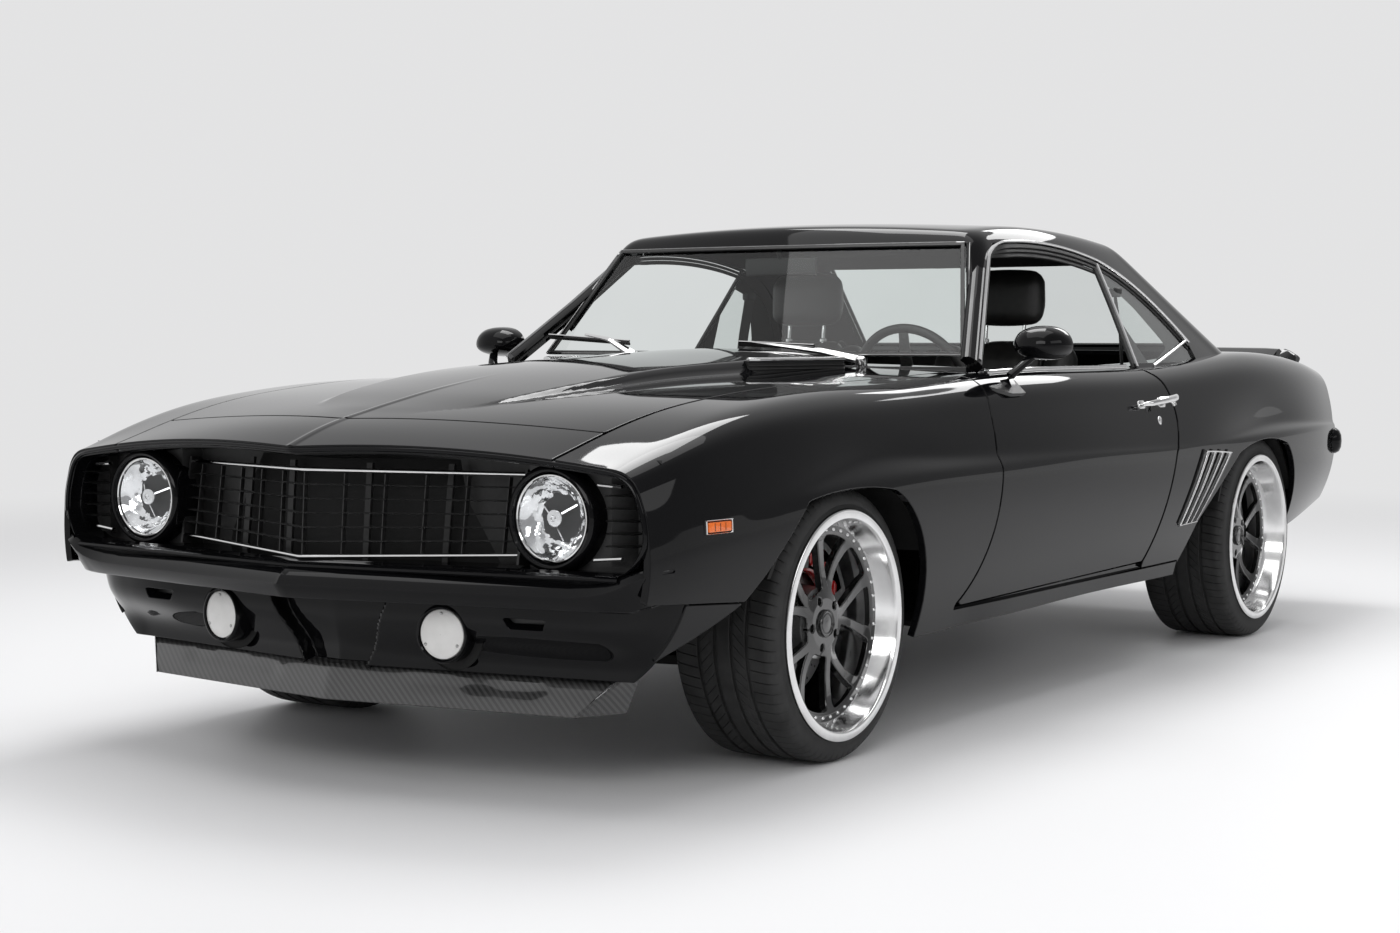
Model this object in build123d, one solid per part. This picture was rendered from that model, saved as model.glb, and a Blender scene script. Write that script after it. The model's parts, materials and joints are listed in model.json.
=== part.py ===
from build123d import *
from collections import namedtuple
import math
import os

# Two-door muscle car with a long hood, a V-shaped nose and a ducktail spoiler.
# Millimetres.  The car faces -Y, +X is its left side, +Z is up.  The origin is on
# the ground under the middle of the car.

# ---- wheels and axles -------------------------------------------------------------
WHEELBASE = 2743.0
FRONT_AXLE_Y = -1365.0
REAR_AXLE_Y = FRONT_AXLE_Y + WHEELBASE
RIM_LIP_R = 273.0
RIM_SEAT_R = 252.0
STEER_AXIS_X = 640.0
DISC_R = 178.0
DISC_HALF_T = 14.0

Axle = namedtuple("Axle", "y tyre_r tyre_in tyre_out lip_x face_x disc_x")
FRONT = Axle(FRONT_AXLE_Y, 325.0, 588.0, 862.0, 871.0, 812.0, 706.0)
REAR = Axle(REAR_AXLE_Y, 333.0, 602.0, 884.0, 893.0, 818.0, 716.0)

# ---- body thicknesses and gaps ----------------------------------------------------
SKIN = 12.0
HOOD_T = 22.0
DOOR_T = 80.0
DOOR_T_BELT = 50.0
ROOF_T = 35.0
GLASS_T = 6.0
GAP = 7.0
DOOR_GAP_REAR = 10.0
JAMB = 16.0

# ---- plan of the nose: a shallow V, its tip on the centre line ---------------------
NOSE_TIP_Y = -2318.0
NOSE_SLOPE = 0.15
NOSE_BAND = 46.0
HEADER_DEPTH = 190.0
TAIL_Y = 2288.0
TAIL_T = 22.0
LID_FRONT_Y = 1590.0
LID_GAP = 10.0
LID_AXIS = (200.0, 1585.0, 946.5)
HOOD_REAR_Y = -530.0
HOOD_AXIS = (330.0, -534.0, 928.0)
HINGE_PIN_R = 4.0
COWL_WALL_Y = -455.0
VALANCE_LOW = 269.0
DOOR_AXIS_X = 924.0

# ---- body sections: half widths and heights at each station ------------------------
# xl zl: lower edge, low: outward bulge of the lower side, xw zw: widest crease,
# xe ze: inner edge of the ledge above the crease, xs zs: start of the shoulder,
# xt zt: end of the shoulder, top: bulge of the shoulder, zc: height at the middle
Station = namedtuple("Station", "y xl zl low xw zw xe ze xs zs xt zt top zc")
BODY = [
    Station(-2340, 735, 268, 42, 846, 560, 843, 600, 828, 645, 750, 705, 18, 752),
    Station(-2200, 742, 268, 42, 868, 560, 865, 602, 850, 660, 770, 731, 22, 800),
    Station(-2050, 750, 267, 42, 892, 566, 890, 606, 874, 697, 784, 774, 24, 832),
    Station(-1850, 800, 264, 34, 910, 600, 907, 640, 884, 742, 790, 826, 25, 858),
    Station(-1600, 850, 262, 22, 922, 640, 905, 670, 886, 777, 790, 860, 25, 880),
    Station(-1365, 866, 262, 14, 926, 655, 893, 706, 884, 792, 790, 877, 24, 895),
    Station(-1000, 868, 260, 12, 926, 665, 897, 706, 882, 798, 792, 884, 24, 908),
    Station(-640, 868, 262, 12, 925, 663, 906, 698, 883, 812, 800, 897, 22, 918),
    Station(-50, 868, 268, 12, 925, 666, 917, 685, 886, 824, 812, 907, 20, 926),
    Station(555, 868, 266, 12, 925, 660, 920, 675, 889, 826, 812, 907, 20, 928),
    Station(950, 866, 272, 12, 927, 664, 920, 680, 893, 838, 806, 922, 22, 936),
    Station(1378, 862, 300, 14, 932, 674, 899, 706, 892, 852, 794, 944, 24, 950),
    Station(1800, 846, 345, 18, 916, 680, 892, 703, 876, 842, 774, 934, 24, 944),
    Station(2100, 820, 385, 20, 882, 678, 868, 693, 848, 816, 756, 910, 22, 926),
    Station(2300, 796, 410, 20, 848, 674, 840, 686, 822, 790, 738, 886, 20, 906),
]

# ---- greenhouse: plan outline at the belt and at the top of the side glass ----------
# front middle y, front corner x y, side start x y, side middle x y, side end x y,
# rear corner x y, rear middle y
Outline = namedtuple("Outline", "z yf xf yfc xa ya xm ym xb yb xr yrc yr")
BELT = Outline(905, -500, 715, -460, 798, -350, 815, 400, 800, 1300, 700, 1530, 1592)
TOP = Outline(1262, -245, 585, -205, 622, -120, 628, 300, 612, 800, 540, 925, 975)
GREENHOUSE_LOW = 860.0
GREENHOUSE_HIGH = 1400.0

# roof crown: height at the middle and 700 mm to each side
Crown = namedtuple("Crown", "y zc ze")
CROWN_HALF = 700.0
CROWN = [
    Crown(-420, 1272, 1232),
    Crown(-245, 1311, 1272),
    Crown(100, 1338, 1311),
    Crown(500, 1333, 1306),
    Crown(900, 1298, 1268),
    Crown(1300, 1226, 1190),
    Crown(1700, 1140, 1100),
]
WINDOW_Z = 918.0


def save(shape, name):
    export_step(shape, f"parts/{name}.step")


def mirrored(shape):
    return mirror(shape, about=Plane.YZ)


def box(x0, x1, y0, y1, z0, z1):
    return Pos((x0 + x1) / 2, (y0 + y1) / 2, (z0 + z1) / 2) * Box(x1 - x0, y1 - y0, z1 - z0)


def tube_x(x0, x1, y, z, radius):
    """Solid cylinder along X."""
    return Pos((x0 + x1) / 2, y, z) * Rot(0, 90, 0) * Cylinder(radius, x1 - x0)


def tube_y(x, y0, y1, z, radius):
    """Solid cylinder along Y."""
    return Pos(x, (y0 + y1) / 2, z) * Rot(90, 0, 0) * Cylinder(radius, y1 - y0)


def side_prism(edges, x0, x1):
    """Closed outline in Y and Z, given as edges at X = 0, pushed from x0 to x1."""
    face = Face(Wire(edges))
    return Pos(x0, 0, 0) * extrude(face, amount=x1 - x0, dir=(1, 0, 0))


def front_prism(points, y0, y1):
    """Closed polygon in X and Z, pushed along Y from y0 to y1."""
    wire = Wire.make_polygon([(x, 0, z) for x, z in points], close=True)
    return Pos(0, y0, 0) * extrude(Face(wire), amount=y1 - y0, dir=(0, 1, 0))


def plan_prism(points, z0, z1):
    """Closed polygon in X and Y, pushed up from z0 to z1."""
    wire = Wire.make_polygon([(x, y, 0) for x, y in points], close=True)
    return Pos(0, 0, z0) * extrude(Face(wire), amount=z1 - z0, dir=(0, 0, 1))


def largest(shape):
    """The biggest solid, without the slivers that the cuts leave."""
    return max(shape.solids(), key=lambda solid: solid.volume)


def both_sides(half):
    """Half outline from the middle outwards, closed with its mirror image."""
    return half + [(-x, y) for x, y in reversed(half) if x > 0]


def v_band(tip_y, slope, reach, depth, z0, z1):
    """Bar bent into a V in plan, its tip on the centre line."""
    end_y = tip_y + slope * reach
    half = [(reach, end_y), (reach, end_y + depth)]
    points = [(0, tip_y), *half, (0, tip_y + depth)]
    points += [(-x, y) for x, y in reversed(half)]
    return plan_prism(points, z0, z1)


def behind_v(tip_y, slope):
    """Everything behind a V-shaped vertical face."""
    reach = 1200.0
    back = 3000.0
    half = [(0, tip_y), (reach, tip_y + slope * reach), (reach, back)]
    return plan_prism(both_sides(half), 0, 1500)


# ---- body volume -------------------------------------------------------------------
def bulged(a, b, bulge):
    """Middle of the arc from a to b, pushed out to the right of the way up."""
    (x0, z0), (x1, z1) = a, b
    length = math.hypot(x1 - x0, z1 - z0)
    return ((x0 + x1) / 2 + bulge * (z1 - z0) / length,
            (z0 + z1) / 2 - bulge * (x1 - x0) / length)


def section(row, side=0.0, belt=0.0, lift=0.0, drop=0.0):
    """Wire of one body section: side walls moved in by side, or by belt at the top,
    the top lowered by lift and the open lower edge by drop."""
    low = (row.xl - side, row.zl - drop)
    crease = (row.xw - side, row.zw)
    ledge = (row.xe - side, row.ze)
    shoulder = (row.xs - side, row.zs - lift / 3)
    top = (row.xt - belt, row.zt - lift)
    side_mid = bulged(ledge, shoulder, 3)
    low_mid = bulged(low, crease, row.low)
    top_mid = bulged(shoulder, top, row.top)
    middle = (0, row.zc - lift)

    def at(p, sign=1):
        return (sign * p[0], row.y, p[1])

    edges = [Edge.make_line(at(low, -1), at(low))]
    right = []
    for sign, store in ((1, edges), (-1, right)):
        store.append(Edge.make_three_point_arc(at(low, sign), at(low_mid, sign), at(crease, sign)))
        store.append(Edge.make_line(at(crease, sign), at(ledge, sign)))
        store.append(Edge.make_three_point_arc(at(ledge, sign), at(side_mid, sign),
                                               at(shoulder, sign)))
        store.append(Edge.make_three_point_arc(at(shoulder, sign), at(top_mid, sign),
                                               at(top, sign)))
    crown = Edge.make_three_point_arc(at(top), at(middle), at(top, -1))
    return Wire(edges + [crown] + list(reversed(right)))


def body_volume(rows=BODY, **offsets):
    return Solid.make_loft([section(row, **offsets) for row in rows], ruled=False)


def stretched(rows, amount):
    """The same sections with the first and last pushed outwards."""
    first = rows[0]._replace(y=rows[0].y - amount)
    last = rows[-1]._replace(y=rows[-1].y + amount)
    return [first, *rows[1:-1], last]


# ---- greenhouse volume -------------------------------------------------------------
def outline_at(z, inset):
    """Plan outline of the greenhouse at a height, moved inwards by inset."""
    part = (z - BELT.z) / (TOP.z - BELT.z)
    low = list(BELT)
    high = list(TOP)
    o = Outline(*[a + (b - a) * part for a, b in zip(low, high)])
    i = inset
    front = [(-(o.xf - i), o.yfc + i), (0, o.yf + i), (o.xf - i, o.yfc + i)]
    corner_a = ((o.xf + o.xa) / 2 + 0.16 * (o.xa - o.xf) - i,
                (o.yfc + o.ya) / 2 - 0.16 * (o.ya - o.yfc) + i)
    side = [(o.xa - i, o.ya + i), (o.xm - i, o.ym), (o.xb - i, o.yb - i)]
    corner_c = ((o.xb + o.xr) / 2 + 0.18 * (o.xb - o.xr) - i,
                (o.yb + o.yrc) / 2 + 0.16 * (o.yrc - o.yb) - i)
    rear = [(o.xr - i, o.yrc - i), (0, o.yr - i), (-(o.xr - i), o.yrc - i)]

    def arc(a, m, b):
        return Edge.make_three_point_arc((*a, z), (*m, z), (*b, z))

    def flip(p):
        return (-p[0], p[1])

    left = [arc(front[2], corner_a, side[0]), arc(*side), arc(side[2], corner_c, rear[0])]
    right = [arc(rear[2], flip(corner_c), flip(side[2])),
             arc(flip(side[2]), flip(side[1]), flip(side[0])),
             arc(flip(side[0]), flip(corner_a), front[0])]
    return Wire([arc(*front), *left, arc(*rear), *right])


def greenhouse(inset):
    """Solid of the cabin above the belt, moved inwards by inset."""
    tapered = Solid.make_loft([outline_at(GREENHOUSE_LOW, inset),
                               outline_at(GREENHOUSE_HIGH, inset)], ruled=True)
    wires = []
    for row in CROWN:
        low = GREENHOUSE_LOW - 20
        a = (-CROWN_HALF, row.y, row.ze - inset)
        m = (0, row.y, row.zc - inset)
        b = (CROWN_HALF, row.y, row.ze - inset)
        c = (CROWN_HALF + 200, row.y, low)
        d = (-CROWN_HALF - 200, row.y, low)
        wires.append(Wire([Edge.make_three_point_arc(a, m, b), Edge.make_line(b, c),
                           Edge.make_line(c, d), Edge.make_line(d, a)]))
    return tapered & Solid.make_loft(wires, ruled=False)


# ---- outlines seen from the side: (y, z) ---------------------------------------------
def line(a, b):
    return Edge.make_line((0, *a), (0, *b))


def bend(a, m, b):
    return Edge.make_three_point_arc((0, *a), (0, *m), (0, *b))


def door_foot(front, low):
    """Lower front corner of the door, or of the gap round it."""
    return (-826 - 1.5 * front, 318 - low)


def door_outline(front=0.0, rear=0.0, low=0.0):
    """Side view of the door, grown at its front, rear and lower edges."""
    top = 1000.0
    a = (-625 - front, top)
    b = (-640 - front, 690)
    c = (-706 - 0.82 * front, 427 + 0.58 * front)
    d = (-826 - 0.5 * front, 318 + 0.87 * front)
    foot = door_foot(front, low)
    corner = [line(d, foot)] if front else []
    e = (388 + rear, 332 - low)
    f = (478 + rear, 450)
    g = (556 + rear, 650)
    h = (582 + rear, 800)
    k = (495 + rear, 893)
    m = (495 + rear, top)
    return [line(a, b), bend(b, c, d), *corner, line(foot, e), bend(e, f, g), bend(g, h, k),
            line(k, m), line(m, a)]


def behind_door_front(gap):
    """Everything behind the front edge of the door, moved forward by a gap."""
    edges = door_outline(gap, 0, gap)[:3]
    foot = door_foot(gap, gap)
    low = (foot[0], 150)
    far = (2500, 150)
    far_top = (2500, 1000)
    return side_prism([*edges, line(foot, low), line(low, far), line(far, far_top),
                       line(far_top, (-625 - gap, 1000))], 0, 1000)


def front_opening(x0, x1):
    """Front wheel opening: round behind, slanting forward ahead of the wheel."""
    y = FRONT_AXLE_Y
    rear_low = (y + 300, 150)
    rear_mid = (y + 338, 254)
    top_rear = (y + 145, 637)
    top_front = (y - 256, 634)
    nose = (y - 482, 426)
    foot = (y - 684, 322)
    front_low = (y - 790, 262)
    end = (y - 790, 150)
    edges = [line(rear_low, rear_mid), bend(rear_mid, (y + 322, 470), top_rear),
             bend(top_rear, (y - 55, 652), top_front), line(top_front, nose),
             line(nose, foot), line(foot, front_low), line(front_low, end), line(end, rear_low)]
    return side_prism(edges, x0, x1)


def rear_opening(x0, x1):
    """Rear wheel opening, its leading edge slanting forward down to the sill."""
    y = REAR_AXLE_Y
    rear_low = (y + 330, 150)
    rear_mid = (y + 345, 300)
    top_rear = (y + 170, 640)
    top_front = (y - 280, 626)
    nose = (y - 583, 424)
    foot = (y - 693, 300)
    front_low = (y - 760, 240)
    end = (y - 760, 150)
    edges = [line(rear_low, rear_mid), bend(rear_mid, (y + 312, 500), top_rear),
             bend(top_rear, (y - 30, 662), top_front), line(top_front, nose),
             line(nose, foot), line(foot, front_low), line(front_low, end), line(end, rear_low)]
    return side_prism(edges, x0, x1)


# ---- hood and lid edges seen from above --------------------------------------------
HOOD_FRONT_X = 640.0
HOOD_REAR_X = 700.0
HOOD_TIP_Y = NOSE_TIP_Y + HEADER_DEPTH
LID_FRONT_X = 640.0
LID_REAR_X = 668.0


def hood_edge_x(y):
    """Half width of the hood along its length."""
    part = (y - NOSE_TIP_Y) / (HOOD_REAR_Y - NOSE_TIP_Y)
    return HOOD_FRONT_X + (HOOD_REAR_X - HOOD_FRONT_X) * part


def hood_plan(grow=0.0):
    tip = HOOD_TIP_Y - grow
    corner_y = tip + NOSE_SLOPE * HOOD_FRONT_X
    rear = HOOD_REAR_Y + grow
    half = [(0, tip), (hood_edge_x(corner_y) + grow, corner_y), (HOOD_REAR_X + grow, rear)]
    return both_sides(half + [(0, rear)])


def lid_plan(grow=0.0):
    half = [(0, LID_FRONT_Y - grow), (LID_FRONT_X + grow, LID_FRONT_Y - grow),
            (LID_REAR_X + grow, TAIL_Y + 40)]
    return both_sides(half)


def outer_body():
    """The whole outside of the body below the greenhouse, with its V-shaped nose."""
    return body_volume() & behind_v(NOSE_TIP_Y, NOSE_SLOPE) & box(-1000, 1000, -2400, TAIL_Y,
                                                                  0, 1500)


def inner_volume(depth, drop=20):
    """The body volume moved inwards by a panel's thickness, open below and at the ends."""
    return body_volume(stretched(BODY, 30), side=depth, belt=depth, lift=depth, drop=drop)


def door_core(depth, belt):
    """What lies inboard of a door of the given depth."""
    return body_volume(stretched(BODY, 30), side=depth, belt=belt, lift=-40, drop=20)


OUTER = outer_body()
WITHIN_SKIN = inner_volume(SKIN)
BODY_SKIN = OUTER - WITHIN_SKIN
UNDER_HOOD = inner_volume(HOOD_T)
INSIDE = inner_volume(SKIN + 3)
DOOR_HOLE = side_prism(door_outline(GAP, DOOR_GAP_REAR, GAP), 500, 1000)


# ---- outer panels --------------------------------------------------------------------
def make_fender():
    """Left front fender, from the nose to the door, with its wheel opening."""
    y = FRONT_AXLE_Y
    gap_front = hood_edge_x(NOSE_TIP_Y) + GAP
    plan = plan_prism([(gap_front, -2400), (1000, -2400), (1000, -560),
                       (HOOD_REAR_X + GAP, -560)], 200, 1000)
    seam = side_prism([line((-2400, 466), (y - 482, 428)), line((y - 482, 428), (y, 428)),
                       line((y, 428), (y, 150)), line((y, 150), (-2400, 150)),
                       line((-2400, 150), (-2400, 466))], 0, 1000)
    nose = behind_v(NOSE_TIP_Y + NOSE_BAND + 1, NOSE_SLOPE)
    return (BODY_SKIN & plan & nose) - seam - front_opening(300, 1000) - behind_door_front(GAP)


def make_quarter():
    """Left rear quarter, from the door to the tail, with its wheel opening."""
    inner_x = 690.0
    plan = plan_prism([(inner_x, 380), (1000, 380), (1000, TAIL_Y), (LID_REAR_X + GAP, TAIL_Y),
                       (LID_FRONT_X + GAP, LID_FRONT_Y - LID_GAP),
                       (inner_x, LID_FRONT_Y - LID_GAP)], 200, 1000)
    sill = box(0, 1000, 300, REAR_AXLE_Y - 693, 200, 312)
    tail_face = box(0, 800, TAIL_Y - TAIL_T - 1, TAIL_Y + 1, 200, 1000)
    front = side_prism(door_outline(2000, DOOR_GAP_REAR, 0), 0, 1000)
    return (BODY_SKIN & plan) - sill - rear_opening(400, 1000) - front - DOOR_HOLE - tail_face


def make_door():
    """Left door, hollow to the depth of the whole door, its top at the belt."""
    volume = side_prism(door_outline(), 500, 1000)
    shell = (OUTER & volume) - door_core(DOOR_T, DOOR_T_BELT)
    belt = box(DOOR_AXIS_X - 170, 1000, -900, 700, 200, 912)
    return shell & belt


def make_hood():
    """Hood skin with a raised scoop that widens to the rear and opens there."""
    skin = (OUTER - UNDER_HOOD) & plan_prism(hood_plan(), 600, 1100)
    Rib = namedtuple("Rib", "y half edge_z top_z")
    ribs = [
        Rib(HOOD_TIP_Y + 10, 30, 816, 826),
        Rib(-1950, 110, 852, 874),
        Rib(-1720, 200, 870, 925),
        Rib(-1300, 300, 896, 941),
        Rib(HOOD_REAR_Y, 400, 915, 950),
    ]
    wires = []
    for rib in ribs:
        low = rib.edge_z - 30
        crest = rib.half * 0.82
        points = [(-rib.half, low), (rib.half, low), (rib.half, rib.edge_z),
                  (crest, rib.top_z - 8), (0, rib.top_z), (-crest, rib.top_z - 8),
                  (-rib.half, rib.edge_z)]
        wires.append(Wire.make_polygon([(x, rib.y, z) for x, z in points], close=True))
    scoop = Solid.make_loft(wires, ruled=True) - UNDER_HOOD
    mouth = box(-360, 360, HOOD_REAR_Y - 60, HOOD_REAR_Y + 1, 915, 938)
    x, y, z = HOOD_AXIS
    leaf = box(x - 12, x + 12, y - 8, y + 3, z + 6, 942)
    leaf += tube_x(x - 12, x + 12, y, z, HINGE_PIN_R + 4)
    leaf -= tube_x(x - 20, x + 20, y, z, HINGE_PIN_R + 0.3)
    ear_room = box(x - 27, x + 27, y - 12, y + 5, z - 60, z - 10)
    shell = (skin + scoop) - mouth - ear_room - mirrored(ear_room)
    return shell + leaf + mirrored(leaf)


def make_lid():
    """Trunk lid with its turned-down rear face."""
    zone = plan_prism(lid_plan(), 700, 1100) & box(-900, 900, 1500, TAIL_Y, 790, 1100)
    keep = UNDER_HOOD & box(-1000, 1000, 0, TAIL_Y - HOOD_T, 0, 1100)
    x, y, z = LID_AXIS
    bore = tube_x(-x - 30, x + 30, y, z, HINGE_PIN_R + 0.3) & box(-x - 12, x + 12, 0, 3000, 0, 1500)
    bore -= box(-x + 12, x - 12, 0, 3000, 0, 1500)
    leaf = tube_x(x - 12, x + 12, y, z, HINGE_PIN_R + 3) + box(x - 12, x + 12, y, y + 12, z - 6, z)
    return (OUTER & zone) - keep + (leaf + mirrored(leaf)) - bore


def make_spoiler():
    """Ducktail across the rear of the lid."""
    profile = [(TAIL_Y - 190, 926), (TAIL_Y - 150, 934), (TAIL_Y - 10, 962), (TAIL_Y + 14, 960),
               (TAIL_Y - 2, 930), (TAIL_Y - 30, 912)]
    wire = Wire.make_polygon([(0, y, z) for y, z in profile], close=True)
    blade = Pos(-655, 0, 0) * extrude(Face(wire), amount=1310, dir=(1, 0, 0))
    return blade - OUTER


def make_nose():
    """Surround of the grille and lamps, the header above it and the wall behind."""
    band = v_band(NOSE_TIP_Y - 1, NOSE_SLOPE, 1000, NOSE_BAND + 1, 508, 1000)
    ring = OUTER & band
    hole = front_prism([(-748, 520), (748, 520), (788, 560), (788, 690), (762, 716),
                        (-762, 716), (-788, 690), (-788, 560)], -2400, -2000)
    header_plan = v_band(NOSE_TIP_Y + NOSE_BAND - 5, NOSE_SLOPE, HOOD_FRONT_X + 2,
                         HEADER_DEPTH - NOSE_BAND + 5 - GAP, 600, 1000)
    header = (OUTER - UNDER_HOOD) & header_plan
    wall = v_band(NOSE_TIP_Y + 215, NOSE_SLOPE, 790, 12, 498, 700)
    shelf = v_band(NOSE_TIP_Y + NOSE_BAND - 2, NOSE_SLOPE, 790, 183, 498, 509)
    return (ring - hole) + header + wall + shelf


def make_valance():
    """Lower front panel that wraps round to the wheel openings."""
    tip = -2206.0
    slope = 0.165
    zone = box(-1000, 1000, -2400, FRONT_AXLE_Y - 430, VALANCE_LOW, 462)
    shell = (OUTER & zone & behind_v(tip, slope)) - (WITHIN_SKIN & behind_v(tip + SKIN, slope))
    seam_cut = side_prism([line((-2400, 462), (FRONT_AXLE_Y - 482, 424)),
                           line((FRONT_AXLE_Y - 482, 424), (-1700, 424)),
                           line((-1700, 424), (-1700, 600)), line((-1700, 600), (-2400, 600)),
                           line((-2400, 600), (-2400, 462))], -1000, 1000)
    opening = front_opening(300, 1000)
    lamp = tube_y(ROAD_LAMP[0], -2300, -2100, ROAD_LAMP[2], ROAD_LAMP_R + 0.3)
    return shell - seam_cut - opening - mirrored(opening) - lamp - mirrored(lamp)


def make_splitter():
    """Wedge under the front panel, its lower edge forward."""
    Level = namedtuple("Level", "z tip_y end_x end_y back_x back_y back_mid_y")
    levels = [
        Level(187, -2206, 627, -2113, 690, -2010, -2130),
        Level(195, -2206, 631, -2110, 694, -2008, -2126),
        Level(VALANCE_LOW, -2203, 672, -2090, 712, -1995, -2100),
    ]
    wires = []
    for v in levels:
        half = [(0, v.tip_y), (v.end_x, v.end_y), (v.back_x, v.back_y), (0, v.back_mid_y)]
        wires.append(Wire.make_polygon([(x, y, v.z) for x, y in both_sides(half)], close=True))
    return Solid.make_loft(wires, ruled=True)


def bumper(rows, profile):
    """Bar lofted across the car: each row is x, y, z, height scale."""
    wires = []
    for x, y, z, scale in rows:
        points = [(x, y + dy, z + dz * scale) for dy, dz in profile]
        wires.append(Wire.make_polygon(points, close=True))
    return Solid.make_loft(wires, ruled=True)


def make_front_bumper():
    profile = [(0, -14), (0, 14), (14, 36), (34, 36), (34, -46), (14, -46)]
    rows = [(-884, -2186, 476, 1.0), (-868, -2192, 474, 1.0), (0, -2360, 465, 1.0),
            (868, -2192, 474, 1.0), (884, -2186, 476, 1.0)]
    bar = bumper(rows, profile)
    horn = [(836, 0), (884, 0), (884, -150), (836, -150)]
    ends = plan_prism([(x, -2035 + y) for x, y in horn], 425, 500)
    return (bar - OUTER) + ((ends - OUTER) + (mirrored(ends) - OUTER))


def make_rear_bumper():
    profile = [(0, -12), (0, 12), (-14, 36), (-62, 36), (-62, -40), (-14, -40)]
    rows = [(-886, 2334, 590, 0.9), (-700, 2352, 588, 1.0), (0, 2362, 586, 1.0),
            (700, 2352, 588, 1.0), (886, 2334, 590, 0.9)]
    bar = bumper(rows, profile)
    ends = box(850, 886, 2110, 2300, 558, 622)
    return (bar + ends + mirrored(ends)) - OUTER


def make_tail():
    """Rear panel under the lid, with the lamp openings and the lower rear panel."""
    zone = box(-1000, 1000, TAIL_Y - TAIL_T, TAIL_Y, 410, 783)
    lamps = box(396, 724, TAIL_Y - 60, TAIL_Y + 5, 640, 742)
    side = box(-799, 799, 0, 3000, 0, 2000)
    panel = OUTER & zone & side
    return panel - lamps - mirrored(lamps)


def make_tail_lamps():
    lamp = box(396.3, 723.7, TAIL_Y - 40, TAIL_Y + 6, 640.3, 741.7)
    return Compound([lamp, mirrored(lamp)])


# ---- roof and glass ------------------------------------------------------------------
WINDSHIELD = [(-706, 950), (706, 950), (592, 1262), (-592, 1262)]
BACKLIGHT = [(-640, 968), (640, 968), (520, 1248), (-520, 1248)]
FRONT_Y_RANGE = (-700, 150)
REAR_Y_RANGE = (780, 1800)


def trimmed(points, inset):
    """Window polygon pulled in from its edges."""
    mid = sum(z for _, z in points) / len(points)
    return [(x - math.copysign(inset, x), z - math.copysign(inset, z - mid)) for x, z in points]


def side_window(front, x0, x1, inset=0.0):
    """Side glass area: from the windshield pillar, or from the divider, to the sail panel."""
    low = WINDOW_Z + inset
    rear_low = (1034 - inset, low)
    rear = (1036 - inset, 976)
    mid = (818, 1145 - inset)
    top_rear = (600, 1228 - inset)
    if front == "pillar":
        top_front = (-100, 1264)
        low_front = (-488, low)
        edges = [line(low_front, rear_low), line(rear_low, rear), bend(rear, mid, top_rear),
                 bend(top_rear, (260, 1268), top_front), line(top_front, low_front)]
    else:
        low_front = (524 + inset, low)
        edges = [line(low_front, rear_low), line(rear_low, rear), bend(rear, mid, top_rear),
                 line(top_rear, low_front)]
    return side_prism(edges, x0, x1)


def make_roof():
    """Roof with windshield pillars, sail panels and the panel below the rear window."""
    shell = greenhouse(0) - greenhouse(ROOF_T)
    windshield = front_prism(WINDSHIELD, *FRONT_Y_RANGE)
    backlight = front_prism(BACKLIGHT, *REAR_Y_RANGE)
    sides = side_window("pillar", -1000, 1000)
    door_room = box(755, 1000, -700, 505, 800, 921)
    shape = shell - windshield - backlight - sides - door_room - mirrored(door_room) - OUTER
    tulip = (OUTER & box(-683, 683, 1440, LID_FRONT_Y - LID_GAP, 800, 1100)) - UNDER_HOOD
    x, y, z = LID_AXIS
    leaf_room = box(x - 13.5, x + 13.5, y - 13, y, z - 14, z + 10)
    tulip -= leaf_room + mirrored(leaf_room)
    return largest(shape) + tulip + hinge_bracket(LID_AXIS, -22, 18)


def hinge_bracket(axis, reach, drop):
    """Pins on the pair of hinge axes, each held at both ends by an ear on the fixed side."""
    x, y, z = axis
    side = tube_x(x - 24, x + 24, y, z, HINGE_PIN_R)
    low_y, high_y = sorted((y + reach, y))
    for x0 in (x - 24, x + 14):
        side += box(x0, x0 + 10, low_y, high_y, z - drop, z)
    return side + mirrored(side)


def make_glass():
    """Windshield, rear window and rear side windows."""
    pane = greenhouse(10) - greenhouse(10 + GLASS_T)
    front = pane & front_prism(trimmed(WINDSHIELD, 1), *FRONT_Y_RANGE)
    back = pane & front_prism(trimmed(BACKLIGHT, 1), *REAR_Y_RANGE)
    left = (pane & side_window("divider", 300, 1000, 1)) - OUTER
    return front, back, Compound([left, mirrored(left)])


def make_cowl():
    """Panel between the hood and the windshield, with the trough under it."""
    top = (OUTER - UNDER_HOOD) & box(-690, 690, HOOD_REAR_Y + GAP, -400, 800, 1100)
    wall = box(-690, 690, COWL_WALL_Y - 15, COWL_WALL_Y, 840, 900)
    trough = box(-690, 690, -640, COWL_WALL_Y, 840, 852)
    post = box(712, 742, -600, -480, FLOOR_Z + FLOOR_T, 885)
    bracket = box(680, 742, -640, COWL_WALL_Y, 838, 850)
    side = post + bracket
    shape = top + wall + trough + side + mirrored(side)
    return shape + hinge_bracket(HOOD_AXIS, 34, 22)


# ---- structure -------------------------------------------------------------------------
FLOOR_Z = 262.0
FLOOR_T = 14.0
TRUNK_Z = 400.0
AXLE_HUMP_Z = 452.0
HUMP_HALF = 555.0
TUNNEL_R = 150.0
SILL_TOP = 306.0
CROSSMEMBER_TOP = 285.0
ARM_LOW_TOP = 228.0
ARM_HIGH_LOW = 452.0


def wheelhouse(axle_y, radius, x0, x1, low_z):
    """Half-round housing over one left wheel."""
    drum = tube_x(x0, x1, axle_y, FRONT.tyre_r, radius + SKIN)
    drum -= tube_x(x0 - 1, x1 + 1, axle_y, FRONT.tyre_r, radius)
    return drum & box(x0, x1, -3000, 3000, low_z, 1000)


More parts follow.
